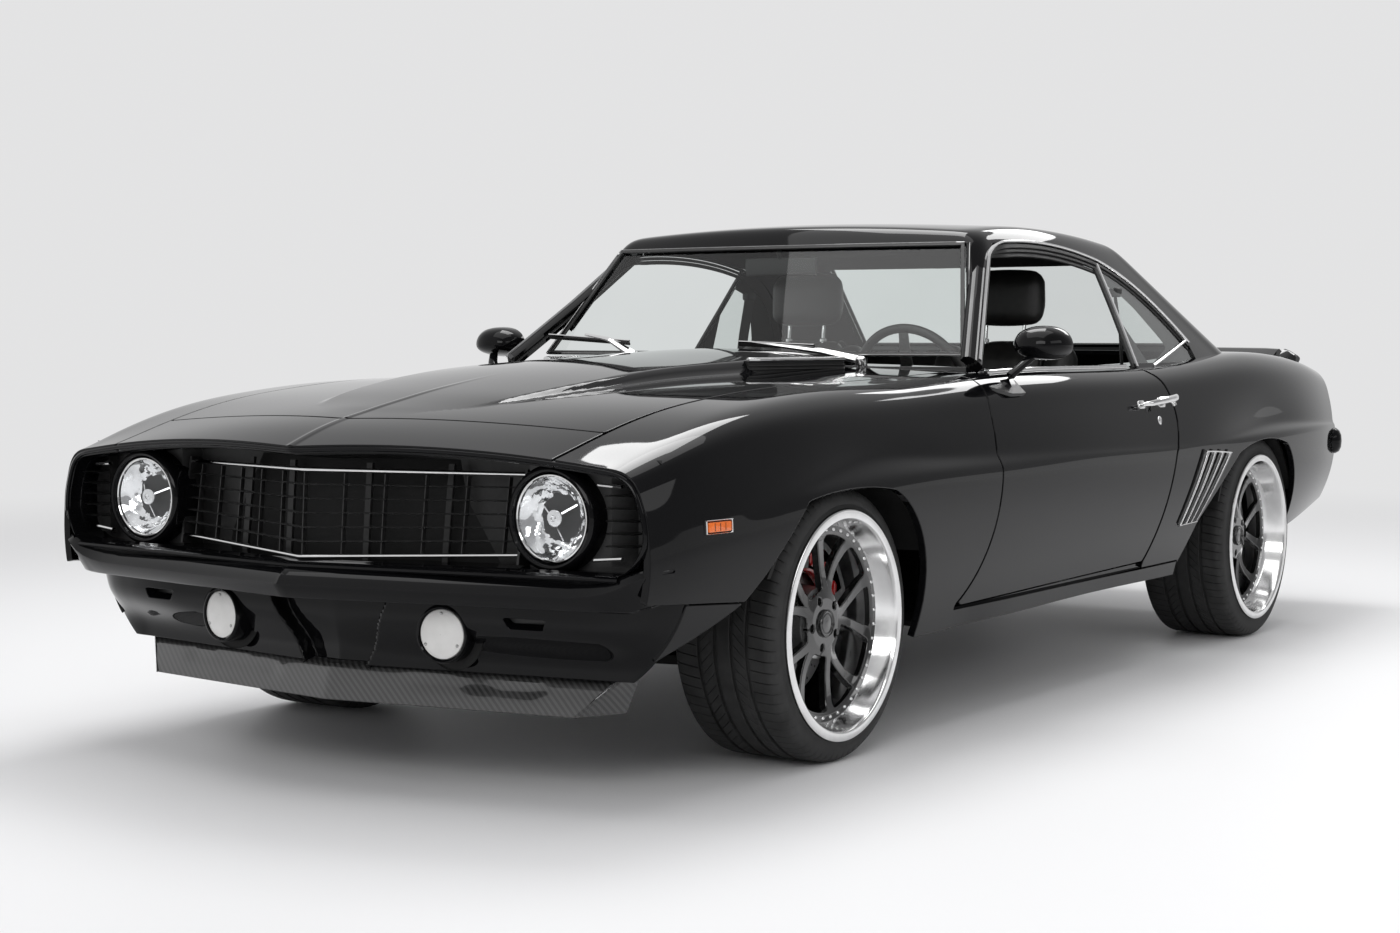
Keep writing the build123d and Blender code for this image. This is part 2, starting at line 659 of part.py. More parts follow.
def make_floor():
    """Floor with tunnel, firewall, rear seat step and trunk floor."""
    floor = box(-660, 660, -860, 960, FLOOR_Z, FLOOR_Z + FLOOR_T)
    floor += box(-780, 780, -860, 640, FLOOR_Z, FLOOR_Z + FLOOR_T)
    tunnel = tube_y(0, -860, 960, FLOOR_Z, TUNNEL_R) & box(-200, 200, -900, 1000, FLOOR_Z, 600)
    bore = tube_y(0, -900, 1000, FLOOR_Z, TUNNEL_R - SKIN)
    fire = box(-680, 680, -660, -646, FLOOR_Z, 838)
    step = box(-HUMP_HALF, HUMP_HALF, 946, 960, FLOOR_Z, AXLE_HUMP_Z + FLOOR_T)
    hump = box(-HUMP_HALF, HUMP_HALF, 960, 1720, AXLE_HUMP_Z, AXLE_HUMP_Z + FLOOR_T)
    drop = box(-HUMP_HALF, HUMP_HALF, 1706, 1720, TRUNK_Z, AXLE_HUMP_Z)
    trunk = box(-740, 740, 1720, TAIL_Y - TAIL_T - 1, TRUNK_Z, TRUNK_Z + FLOOR_T)
    return (floor + tunnel - bore) + fire + step + hump + drop + trunk


def make_rear_housings():
    """Rear wheelhouses, each closed towards the trunk by a flat wall."""
    house = wheelhouse(REAR_AXLE_Y, 372, 572, 880, 470)
    wall = tube_x(HUMP_HALF, 572, REAR_AXLE_Y, FRONT.tyre_r, 372 + SKIN)
    wall &= box(HUMP_HALF, 600, 0, 3000, AXLE_HUMP_Z, 1000)
    side = (house + wall) & INSIDE
    return Compound([side, mirrored(side)])


def make_sills():
    """Sills under the doors, and the jambs round the door openings."""
    rear_y = REAR_AXLE_Y - 700
    front_y = door_foot(GAP, GAP)[0] + 0.3
    rocker = OUTER & box(780.3, 1000, front_y, rear_y, 200, SILL_TOP)
    ring = side_prism(door_outline(GAP + JAMB, DOOR_GAP_REAR + JAMB, GAP + JAMB), 500, 1000)
    ring &= box(500, 1000, -3000, 3000, SILL_TOP + 0.3, 885)
    jamb = ((ring - DOOR_HOLE) & INSIDE) - door_core(DOOR_T + 20, DOOR_T)
    parts = [rocker] + [solid for solid in jamb.solids() if solid.volume > 5e4]
    return Compound(parts + [mirrored(part) for part in parts])


def make_subframe():
    """Front rails, crossmember, control arms, inner fenders and radiator panel."""
    rail = box(330, 395, -1985, -866, 252, 330)
    mount = box(330, 395, -1000, -640, 240, FLOOR_Z - 0.3)
    horn = box(330, 395, -1985, -1940, 252, 420)
    cross = box(-330, 330, FRONT_AXLE_Y - 60, FRONT_AXLE_Y + 60, 215, CROSSMEMBER_TOP)
    radiator = box(-420, 420, -1985, -1945, 330, 720)
    house = wheelhouse(FRONT_AXLE_Y, 408, 480, 905, 470)
    house &= INSIDE
    tower = box(395, 480, FRONT_AXLE_Y - 70, FRONT_AXLE_Y + 70, 470, 730)
    strut = box(395, 430, FRONT_AXLE_Y - 70, FRONT_AXLE_Y + 70, 300, 480)
    arm_end = STEER_AXIS_X
    lower = plan_prism([(330, FRONT_AXLE_Y - 90), (arm_end, FRONT_AXLE_Y - 20),
                        (arm_end, FRONT_AXLE_Y + 20), (330, FRONT_AXLE_Y + 90)],
                       206, ARM_LOW_TOP)
    upper = plan_prism([(395, FRONT_AXLE_Y - 70), (arm_end, FRONT_AXLE_Y - 18),
                        (arm_end, FRONT_AXLE_Y + 18), (395, FRONT_AXLE_Y + 70)],
                       ARM_HIGH_LOW, 468)
    foot = box(330, 395, FRONT_AXLE_Y - 60, FRONT_AXLE_Y + 60, 206, 260)
    side = rail + mount + horn + house + tower + strut + lower + upper + foot
    return side + mirrored(side) + cross + radiator


def make_engine():
    block = box(-250, 250, -1820, -1090, 345, 640)
    head = box(150, 300, -1780, -1130, 560, 720)
    intake = box(-150, 150, -1700, -1200, 640, 790)
    gearbox = box(-110, 110, -1090, -870, 300, 500)
    sump = box(-140, 140, -1300, -1090, 300, 345)
    mount = box(190, 240, FRONT_AXLE_Y - 30, FRONT_AXLE_Y + 30, CROSSMEMBER_TOP, 345)
    return block + head + mirrored(head) + intake + gearbox + sump + mount + mirrored(mount)


def make_exhaust():
    pipe = tube_y(290, -860, 2200, 215, 32)
    muffler = box(200, 380, 300, 800, 165, 250)
    low_pipe = pipe & box(0, 500, -900, 1000, 0, 1000)
    silencer = box(420, 640, 1830, 2130, 230, 330)
    rear_pipe = tube_y(530, 2100, 2330, 280, 36)
    link = plan_prism([(262, 780), (318, 780), (318, 950), (262, 950)], 187, 243)
    hanger = box(284, 296, -520, -500, 220, FLOOR_Z)
    side = low_pipe + muffler + link + hanger + box(284, 296, 500, 520, 240, FLOOR_Z)
    tail = silencer + rear_pipe + box(524, 536, 1970, 1990, 320, TRUNK_Z)
    return Compound([side, mirrored(side), tail, mirrored(tail)])


def make_rear_axle():
    """Axle tube with its differential housing, springs and brake calipers."""
    z = REAR.tyre_r
    housing = tube_y(0, REAR_AXLE_Y - 150, REAR_AXLE_Y + 110, z, 112)
    spring = box(440, 500, 1000, 1700, z - 74, z - 44)
    pad = box(430, 510, REAR_AXLE_Y - 70, REAR_AXLE_Y + 70, z - 46, z)
    hang_front = box(440, 500, 1000, 1030, z - 46, AXLE_HUMP_Z)
    hang_rear = box(440, 500, 1670, 1700, z - 46, AXLE_HUMP_Z)
    tube = tube_x(100, 660, REAR_AXLE_Y, z, 38)
    side = tube + spindle(REAR, 640) + spring + pad + hang_front + hang_rear + caliper(REAR)
    return housing + side + mirrored(side)


# ---- running gear ------------------------------------------------------------------------
def caliper(axle):
    """Caliper over the upper rear of the disc of a left wheel, with its bracket."""
    x = axle.disc_x
    y = axle.y
    z = axle.tyre_r
    ring = tube_x(x - 46, x + 46, y, z, 208) - tube_x(x - 47, x + 47, y, z, 128)
    slot = tube_x(x - 20, x + 20, y, z, DISC_R + 7)
    upper_rear = box(0, 1000, y, y + 300, z - 35, z + 200)
    arm = box(x - 58, x - 44, y, y + 150, z - 35, z + 35)
    return ((ring - slot) & upper_rear) + arm


def spindle(axle, from_x):
    """Stub that ends just short of the brake disc."""
    return tube_x(from_x, axle.disc_x - DISC_HALF_T - 0.3, axle.y, axle.tyre_r, 26)


def make_knuckle():
    """Left steering knuckle with its spindle and caliper."""
    z = FRONT.tyre_r
    pin_low = ARM_LOW_TOP + 0.3
    pin_high = ARM_HIGH_LOW - 0.3
    pin = Cylinder(22, pin_high - pin_low)
    pin = Pos(STEER_AXIS_X, FRONT_AXLE_Y, (pin_low + pin_high) / 2) * pin
    block = box(STEER_AXIS_X - 20, STEER_AXIS_X + 14, FRONT_AXLE_Y - 45, FRONT_AXLE_Y + 45,
                z - 60, z + 60)
    return pin + block + spindle(FRONT, STEER_AXIS_X) + caliper(FRONT)


def make_rim(axle):
    """Left wheel: barrel, twin spokes in pairs, hub and brake disc."""
    z = axle.tyre_r
    y = axle.y
    in_x = axle.tyre_in + 6
    profile = [(in_x, RIM_LIP_R - 6), (in_x + 10, RIM_LIP_R - 6), (in_x + 12, RIM_SEAT_R),
               (axle.lip_x - 14, RIM_SEAT_R), (axle.lip_x - 12, RIM_LIP_R),
               (axle.lip_x, RIM_LIP_R - 2), (axle.lip_x, RIM_LIP_R - 14),
               (axle.face_x + 26, RIM_SEAT_R - 14), (in_x, RIM_SEAT_R - 14)]
    wire = Wire.make_polygon([(x, y, z + r) for x, r in profile], close=True)
    barrel = revolve(Face(wire), axis=Axis((0, y, z), (1, 0, 0)))
    hub = tube_x(axle.disc_x - DISC_HALF_T, axle.face_x + 2, y, z, 62)
    cap = tube_x(axle.face_x, axle.face_x + 12, y, z, 32)
    disc = tube_x(axle.disc_x - DISC_HALF_T, axle.disc_x + DISC_HALF_T, y, z, DISC_R)
    wheel = barrel + hub + cap + disc
    pairs = 5
    spread = 15.0
    for i in range(pairs):
        for side in (-1, 1):
            angle = 90 + 360 * i / pairs
            spoke = Pos(axle.face_x - 8, 22 * side, 150) * Box(24, 20, 196)
            spoke = Rot(side * -spread / 2, 0, 0) * spoke
            wheel += Pos(0, y, z) * Rot(angle, 0, 0) * spoke
    return wheel


def make_tyre(axle):
    """Left tyre: broad tread, round shoulders and a short sidewall."""
    y = axle.y
    z = axle.tyre_r
    shoulder = 26.0
    half_sag = 6.0
    x0 = axle.tyre_in
    x1 = axle.tyre_out
    r = axle.tyre_r
    seat_in = x0 + 18.5
    flange = RIM_LIP_R - 3
    seat_out = axle.lip_x - 14.5

    def at(x, radius):
        return (x, y, z + radius)

    edges = [
        Edge.make_line(at(seat_in, RIM_SEAT_R + 0.3), at(seat_out, RIM_SEAT_R + 0.3)),
        Edge.make_line(at(seat_out, RIM_SEAT_R + 0.3), at(x1 - 4, RIM_LIP_R + 6)),
        Edge.make_line(at(x1 - 4, RIM_LIP_R + 6), at(x1, r - shoulder)),
        Edge.make_three_point_arc(at(x1, r - shoulder), at(x1 - 8, r - 8),
                                  at(x1 - shoulder, r)),
        Edge.make_line(at(x1 - shoulder, r), at(x0 + shoulder, r)),
        Edge.make_three_point_arc(at(x0 + shoulder, r), at(x0 + 8, r - 8),
                                  at(x0, r - shoulder)),
        Edge.make_line(at(x0, r - shoulder), at(x0 + half_sag, RIM_LIP_R + 6)),
        Edge.make_line(at(x0 + half_sag, RIM_LIP_R + 6), at(seat_in - 1, flange)),
        Edge.make_line(at(seat_in - 1, flange), at(seat_in, RIM_SEAT_R + 0.3)),
    ]
    return revolve(Face(Wire(edges)), axis=Axis((0, y, z), (1, 0, 0)))


# ---- lamps and grille ----------------------------------------------------------------------
HEADLAMP = (607.0, -2167.0, 618.0)
HEADLAMP_R = 91.0
BEZEL_R = 110.0
ROAD_LAMP = (330.0, -2194.0, 356.0)
ROAD_LAMP_R = 64.0
GRILLE_TIP_Y = -2272.0
GRILLE_SLOPE = 0.31
GRILLE_HALF = 490.0
GRILLE_LOW = 520.0
GRILLE_HIGH = 708.0


def make_headlamps():
    x, y, z = HEADLAMP
    bezel = tube_y(x, y + 4, y + 90, z, BEZEL_R - 1.3) - tube_y(x, y, y + 40, z, HEADLAMP_R - 4)
    lens = tube_y(x, y - 8, y + 60, z, HEADLAMP_R - 5)
    lamp = bezel + chamfer(lens.edges().sort_by(Axis.Y)[0], 12)
    return Compound([lamp, mirrored(lamp)])


def make_road_lamps():
    x, y, z = ROAD_LAMP
    can = tube_y(x, y, y + 70, z, ROAD_LAMP_R) - tube_y(x, y - 1, y + 12, z, ROAD_LAMP_R - 9)
    lens = tube_y(x, y + 4, y + 20, z, ROAD_LAMP_R - 9)
    lamp = can + lens
    return Compound([lamp, mirrored(lamp)])


def make_grille():
    """Two trims, thin bars between them and a few uprights behind."""
    bars = 7
    depth = 14.0
    shape = None
    for i in range(bars):
        z = GRILLE_LOW + (GRILLE_HIGH - GRILLE_LOW) * i / (bars - 1)
        half = 5.0 if i in (0, bars - 1) else 3.0
        bar = v_band(GRILLE_TIP_Y, GRILLE_SLOPE, GRILLE_HALF, depth, z - half, z + half)
        shape = bar if shape is None else shape + bar
    uprights = 6
    for i in range(-uprights + 1, uprights):
        x = i * 92.0
        y = GRILLE_TIP_Y + GRILLE_SLOPE * abs(x) + 4
        if abs(x) < GRILLE_HALF:
            shape += box(x - 4, x + 4, y, y + 20, GRILLE_LOW - 5, GRILLE_HIGH + 5)
    back = v_band(NOSE_TIP_Y + 197, NOSE_SLOPE, GRILLE_HALF, 8, GRILLE_LOW, 690)
    strut_x = 440.0
    strut_y = GRILLE_TIP_Y + GRILLE_SLOPE * strut_x
    strut = box(strut_x - 6, strut_x + 6, strut_y + 8, -2050, 610, 620)
    strut &= behind_v(-3000, 0) & box(0, 1000, -3000, NOSE_TIP_Y + 200 + NOSE_SLOPE * strut_x,
                                      0, 1000)
    tip = box(-5, 5, GRILLE_TIP_Y + 8, NOSE_TIP_Y + 200, 610, 620)
    return shape + back + strut + mirrored(strut) + tip


# ---- cabin ------------------------------------------------------------------------------------
SEAT_X = 370.0
WHEEL_POS = (370.0, -95.0, 862.0)
WHEEL_R = 185.0
WHEEL_TILT = -70.0


def make_dashboard():
    """Dashboard with the steering column."""
    front = COWL_WALL_Y + 0.3
    face = [(front, 700), (front, 862), (-430, 872), (-380, 884), (-300, 890), (-250, 860),
            (-290, 700)]
    wire = Wire.make_polygon([(0, y, z) for y, z in face], close=True)
    pad = Pos(-672, 0, 0) * extrude(Face(wire), amount=1344, dir=(1, 0, 0))
    column = Pos(*WHEEL_POS) * Rot(WHEEL_TILT, 0, 0) * Pos(0, 0, -131.3) * Cylinder(26, 232)
    return pad + column


def make_steering_wheel():
    x, y, z = WHEEL_POS
    ring = Torus(WHEEL_R - 14, 14)
    spokes = Box(2 * WHEEL_R - 40, 26, 10) + Pos(0, -80, 0) * Box(26, 160, 10)
    hub = Cylinder(48, 30)
    return Pos(x, y, z) * Rot(WHEEL_TILT, 0, 0) * (ring + spokes + hub)


def seat_profile(points, x0, x1):
    wire = Wire.make_polygon([(0, y, z) for y, z in points], close=True)
    return Pos(x0, 0, 0) * extrude(Face(wire), amount=x1 - x0, dir=(1, 0, 0))


def make_front_seats():
    """Pair of bucket seats on their rails."""
    base = box(SEAT_X - 200, SEAT_X + 200, -20, 420, FLOOR_Z + FLOOR_T, 345)
    cushion = seat_profile([(-90, 345), (-110, 450), (-40, 480), (330, 440), (450, 420),
                            (450, 345)], SEAT_X - 245, SEAT_X + 245)
    back = seat_profile([(330, 440), (360, 430), (450, 430), (600, 960), (560, 1000),
                         (500, 1000), (460, 940)], SEAT_X - 235, SEAT_X + 235)
    rest = seat_profile([(500, 1045), (565, 1035), (600, 1090), (590, 1185), (540, 1206),
                         (498, 1170)], SEAT_X - 125, SEAT_X + 125)
    posts = box(SEAT_X - 60, SEAT_X - 48, 530, 542, 980, 1060)
    posts += box(SEAT_X + 48, SEAT_X + 60, 530, 542, 980, 1060)
    seat = base + cushion + back + rest + posts
    return Compound([seat, mirrored(seat)])


def make_rear_seat():
    cushion = seat_profile([(700, FLOOR_Z + FLOOR_T), (690, 430), (740, 460), (946, 440),
                            (946, FLOOR_Z + FLOOR_T)], -550, 550)
    foot = AXLE_HUMP_Z + FLOOR_T + 0.3
    back = seat_profile([(946, foot), (900, 480), (1060, 880), (1110, 900), (1150, 880),
                         (1110, foot)], -550, 550)
    shelf = box(-550, 550, 1110, 1500, 860, 880)
    tunnel = tube_y(0, 600, 1000, FLOOR_Z, TUNNEL_R + 2)
    return (cushion - tunnel) + back + shelf


def make_wipers():
    """Pair of wiper arms and blades parked across the foot of the windshield."""
    shape = []
    for x0, x1 in ((430, 150), (-280, -560)):
        pivot = Pos(x0, -472, 934) * Cylinder(12, 66) - OUTER
        reach = abs(x1 - x0)
        arm = Pos((x0 + x1) / 2, -472, 962) * Box(reach, 12, 6)
        blade = Pos((x0 + x1) / 2 - 30, -462, 964) * Box(reach, 8, 10)
        shape.append(pivot + arm + blade)
    return Compound(shape)


MIRROR_POS = (918.0, -415.0, 984.0)


def make_mirror():
    """Left door mirror: a stalk on the door and an egg-shaped head."""
    head = Pos(*MIRROR_POS) * chamfer(Box(148, 66, 84).edges(), 20)
    stalk = seat_profile([(-500, 860), (-440, 860), (-420, 972), (-440, 972)], 848, 872)
    arm = box(848, 910, -440, -418, 962, 980)
    return head + ((stalk + arm) - OUTER)


def main():
    os.makedirs("parts", exist_ok=True)
    pairs = {
        "fender": make_fender(),
        "quarter": make_quarter(),
        "door": make_door(),
        "mirror": make_mirror(),
        "knuckle": make_knuckle(),
        "rim_front": make_rim(FRONT),
        "rim_rear": make_rim(REAR),
        "tyre_front": make_tyre(FRONT),
        "tyre_rear": make_tyre(REAR),
    }
    for name, shape in pairs.items():
        save(shape, f"{name}_left")
        save(mirrored(shape), f"{name}_right")
    windshield, rear_window, quarter_windows = make_glass()
    single = {
        "floor_pan": make_floor(),
        "rear_wheelhouses": make_rear_housings(),
        "sills": make_sills(),
        "subframe": make_subframe(),
        "cowl_panel": make_cowl(),
        "roof_panel": make_roof(),
        "nose_panel": make_nose(),
        "grille": make_grille(),
        "headlamps": make_headlamps(),
        "road_lamps": make_road_lamps(),
        "bumper_front": make_front_bumper(),
        "valance_front": make_valance(),
        "splitter": make_splitter(),
        "tail_panel": make_tail(),
        "tail_lamps": make_tail_lamps(),
        "bumper_rear": make_rear_bumper(),
        "windshield": windshield,
        "rear_window": rear_window,
        "quarter_windows": quarter_windows,
        "dashboard": make_dashboard(),
        "steering_wheel": make_steering_wheel(),
        "front_seats": make_front_seats(),
        "rear_seat": make_rear_seat(),
        "engine_block": make_engine(),
        "rear_axle": make_rear_axle(),
        "wipers": make_wipers(),
        "exhaust": make_exhaust(),
        "hood": make_hood(),
        "trunk_lid": make_lid(),
        "spoiler": make_spoiler(),
    }
    for name, shape in single.items():
        save(shape, name)


main()
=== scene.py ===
import json
import math
from collections import namedtuple

import bpy
import numpy as np
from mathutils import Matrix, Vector
from mathutils.bvhtree import BVHTree

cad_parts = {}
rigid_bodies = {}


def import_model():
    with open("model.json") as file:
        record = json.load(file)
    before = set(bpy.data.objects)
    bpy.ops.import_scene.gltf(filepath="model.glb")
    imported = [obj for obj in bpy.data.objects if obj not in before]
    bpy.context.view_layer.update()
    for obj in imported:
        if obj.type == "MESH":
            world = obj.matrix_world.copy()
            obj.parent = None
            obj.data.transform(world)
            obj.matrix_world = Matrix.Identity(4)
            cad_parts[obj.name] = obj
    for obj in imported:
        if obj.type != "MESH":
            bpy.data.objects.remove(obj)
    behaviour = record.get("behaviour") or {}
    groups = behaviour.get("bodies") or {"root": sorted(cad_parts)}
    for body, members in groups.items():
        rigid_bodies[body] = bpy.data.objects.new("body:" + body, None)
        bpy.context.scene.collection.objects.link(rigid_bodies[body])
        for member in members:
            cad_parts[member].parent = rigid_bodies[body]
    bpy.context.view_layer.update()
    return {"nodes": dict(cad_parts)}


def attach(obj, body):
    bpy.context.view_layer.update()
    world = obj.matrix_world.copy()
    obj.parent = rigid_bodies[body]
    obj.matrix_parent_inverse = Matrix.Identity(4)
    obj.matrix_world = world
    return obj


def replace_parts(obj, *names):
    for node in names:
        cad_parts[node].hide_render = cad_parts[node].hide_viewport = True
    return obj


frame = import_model()
NODES = frame["nodes"]
MM = 0.001


# ---- shader nodes ----------------------------------------------------------------------
def node(t, kind, inputs=None, **settings):
    """New shader node; each named input gets a value, or a link from another node's socket."""
    n = t.nodes.new("ShaderNode" + kind)
    for key, value in settings.items():
        setattr(n, key, value)
    for key, value in (inputs or {}).items():
        if isinstance(value, bpy.types.NodeSocket):
            t.links.new(value, n.inputs[key])
        else:
            n.inputs[key].default_value = value
    return n


def math_node(t, operation, a, b=0.0):
    return node(t, "Math", {0: a, 1: b}, operation=operation).outputs[0]


def mixed(t, factor, first, second):
    return node(t, "MixShader", {0: factor, 1: first, 2: second}).outputs[0]


def blank(name):
    m = bpy.data.materials.new(name)
    m.use_nodes = True
    return m, m.node_tree, m.node_tree.nodes["Principled BSDF"]


def noise(t, scale, detail=2.0, stretch=None):
    place = node(t, "TexCoord").outputs["Object"]
    if stretch:
        place = node(t, "Mapping", {"Vector": place, "Scale": stretch}).outputs["Vector"]
    return node(t, "TexNoise", {"Scale": scale, "Detail": detail, "Vector": place}).outputs["Fac"]


def ramp(t, fac, *stops):
    """Colour between two stops, each a position and a colour."""
    r = node(t, "ValToRGB", {"Fac": fac})
    for element, (place, colour) in zip(r.color_ramp.elements, stops):
        element.position, element.color = place, (*colour, 1)
    return r.outputs["Color"]


def value_range(t, fac, low, high):
    return node(t, "MapRange", {"Value": fac, "To Min": low, "To Max": high}).outputs["Result"]


def smooth_range(t, value, low, high):
    """0 up to low, 1 from high on, with a smooth rise between."""
    return node(t, "MapRange", {"Value": value, "From Min": low, "From Max": high},
                interpolation_type="SMOOTHSTEP").outputs["Result"]


def bump(t, height, strength, distance):
    return node(t, "Bump", {"Height": height, "Strength": strength,
                            "Distance": distance}).outputs["Normal"]


# ---- studio and camera -----------------------------------------------------------------
BACKDROP = (0.77, 0.77, 0.775, 1)
DIM_SIDE = (0.30, 0.30, 0.305, 1)
ROOM_LIGHT = (0.62, 0.62, 0.63, 1)
FLOOR_COLOUR = (0.80, 0.80, 0.805, 1)


def area_light(name, place, target, size, power):
    data = bpy.data.lights.new(name, "AREA")
    data.shape = "RECTANGLE"
    data.size, data.size_y = size
    data.energy = power
    lamp = bpy.data.objects.new(name, data)
    lamp.location = place
    aim = Vector(target) - Vector(place)
    lamp.rotation_euler = aim.to_track_quat("-Z", "Y").to_euler()
    bpy.context.scene.collection.objects.link(lamp)


def make_camera():
    data = bpy.data.cameras.new("camera")
    data.lens = 59.73
    data.sensor_width = 36.0
    data.clip_end = 200
    camera = bpy.data.objects.new("camera", data)
    camera.location = (3.5412, -6.0925, 1.0091)
    pitch, roll, yaw = 90 - 3.285, 0.03, 33.10
    camera.rotation_euler = [math.radians(a) for a in (pitch, roll, yaw)]
    bpy.context.scene.collection.objects.link(camera)
    bpy.context.scene.camera = camera


def seen_rays(t):
    """1 for what is seen straight, in a mirror or through glass, else 0."""
    path = node(t, "LightPath").outputs
    either = math_node(t, "MAXIMUM", path["Is Camera Ray"], path["Is Glossy Ray"])
    return math_node(t, "MAXIMUM", either, path["Is Transmission Ray"])


def make_world():
    """Pale backdrop for what is seen, darker to the left side where gloss surfaces mirror it."""
    world = bpy.data.worlds.new("studio")
    bpy.context.scene.world = world
    world.use_nodes = True
    t = world.node_tree
    t.nodes.clear()
    to_left = node(t, "SeparateXYZ", {0: node(t, "TexCoord").outputs["Generated"]}).outputs["X"]
    shade = math_node(t, "MULTIPLY", smooth_range(t, to_left, 0.0, 0.55),
                      node(t, "LightPath").outputs["Is Glossy Ray"])
    colour = node(t, "Mix", {"A": BACKDROP, "B": DIM_SIDE, "Factor": shade}, data_type="RGBA")
    seen = node(t, "Background", {"Color": colour.outputs["Result"], "Strength": 1.0})
    lit = node(t, "Background", {"Color": ROOM_LIGHT, "Strength": 0.9})
    node(t, "OutputWorld", {0: mixed(t, seen_rays(t), lit.outputs[0], seen.outputs[0])})


def make_floor():
    """Pale floor that runs into the backdrop's colour some way off."""
    mesh = bpy.data.meshes.new("studio_floor")
    far = 60.0
    mesh.from_pydata([(-far, -far, 0), (far, -far, 0), (far, far, 0), (-far, far, 0)], [],
                     [(0, 1, 2, 3)])
    floor = bpy.data.objects.new("studio_floor", mesh)
    bpy.context.scene.collection.objects.link(floor)
    m, t, bsdf = blank("studio_floor")
    bsdf.inputs["Base Color"].default_value = FLOOR_COLOUR
    bsdf.inputs["Roughness"].default_value = 0.5
    bsdf.inputs["Specular IOR Level"].default_value = 0.3
    away = node(t, "VectorMath", {0: node(t, "TexCoord").outputs["Object"]}, operation="LENGTH")
    far_seen = math_node(t, "MULTIPLY", smooth_range(t, away.outputs["Value"], 3.2, 9.0),
                         seen_rays(t))
    glow = node(t, "Emission", {"Color": BACKDROP})
    t.links.new(mixed(t, far_seen, bsdf.outputs[0], glow.outputs[0]),
                t.nodes["Material Output"].inputs["Surface"])
    mesh.materials.append(m)


# ---- materials -------------------------------------------------------------------------
def grey(x):
    return (x, x, x)


def finish_material(name, low, high, rough, metal=0.0, coat=0.0, scale=40.0, grain=None,
                    specular=0.5, stretch=None):
    """Colour from low to high and roughness over a fine noise, with an optional grain bump."""
    m, t, b = blank(name)
    n = noise(t, scale, 3.0, stretch)
    t.links.new(ramp(t, n, (0.3, low), (0.7, high)), b.inputs["Base Color"])
    t.links.new(value_range(t, n, *rough), b.inputs["Roughness"])
    b.inputs["Metallic"].default_value = metal
    b.inputs["Specular IOR Level"].default_value = specular
    if coat:
        b.inputs["Coat Weight"].default_value = coat
        b.inputs["Coat Roughness"].default_value = 0.03
    if grain:
        fineness, strength, distance = grain
        g = noise(t, fineness, 2.0, stretch)
        t.links.new(bump(t, g, strength, distance), b.inputs["Normal"])
    return m


def make_paint():
    m = finish_material("gloss_paint", (0.0025, 0.0025, 0.003), (0.004, 0.004, 0.0045),
                        (0.3, 0.4), coat=1.0, scale=300.0, specular=0.0)
    m.node_tree.nodes["Principled BSDF"].inputs["Coat IOR"].default_value = 1.28
    return m


GLASS_IOR = 1.45


def make_glass_material(name, tint):
    """Thin tinted glass: it lets light straight through and reflects by Fresnel."""
    m, t, _ = blank(name)
    t.nodes.clear()
    lighter = tuple(min(1, x * 1.03) for x in tint)
    clear = node(t, "BsdfTransparent", {"Color": ramp(t, noise(t, 3.0), (0.3, tint),
                                                      (0.7, lighter))})
    gloss = node(t, "BsdfGlossy", {"Roughness": 0.01, "Color": (1, 1, 1, 1)})
    # the index is turned over on the inner face, so that it doesn't mirror from inside
    inside = node(t, "NewGeometry").outputs["Backfacing"]
    fresnel = node(t, "Fresnel", {"IOR": value_range(t, inside, GLASS_IOR, 1 / GLASS_IOR)})
    node(t, "OutputMaterial", {0: mixed(t, fresnel.outputs[0], clear.outputs[0],
                                        gloss.outputs[0])})
    return m


WEAVE_PITCH = 0.009


def make_carbon():
    """Twill weave: two strands of bands at right angles, each row shifted."""
    m, t, b = blank("carbon_weave")
    at = node(t, "SeparateXYZ", {0: node(t, "TexCoord").outputs["Object"]}).outputs
    across = math_node(t, "MULTIPLY", at["X"], 1 / WEAVE_PITCH)
    slant = math_node(t, "ADD", at["Z"], math_node(t, "MULTIPLY", at["Y"], 0.7))
    along = math_node(t, "MULTIPLY", slant, 1 / WEAVE_PITCH)
    row = math_node(t, "FLOOR", math_node(t, "ADD", across, along))
    over = math_node(t, "GREATER_THAN",
                     math_node(t, "FRACT", math_node(t, "MULTIPLY", row, 0.5)), 0.25)
    under = math_node(t, "SUBTRACT", 1.0, over)
    strands = [math_node(t, "MULTIPLY", math_node(t, "SINE", math_node(t, "MULTIPLY", d, 25.0)), k)
               for d, k in ((across, over), (along, under))]
    fibre = math_node(t, "MULTIPLY", math_node(t, "ADD", *strands), 0.12)
    shade = math_node(t, "ADD", math_node(t, "MULTIPLY", over, 0.5), fibre)
    t.links.new(ramp(t, shade, (0.0, grey(0.012)), (0.7, grey(0.06))), b.inputs["Base Color"])
    t.links.new(value_range(t, shade, 0.28, 0.42), b.inputs["Roughness"])
    t.links.new(bump(t, shade, 0.25, 0.0006), b.inputs["Normal"])
    b.inputs["Coat Weight"].default_value = 1.0
    b.inputs["Coat Roughness"].default_value = 0.06
    return m


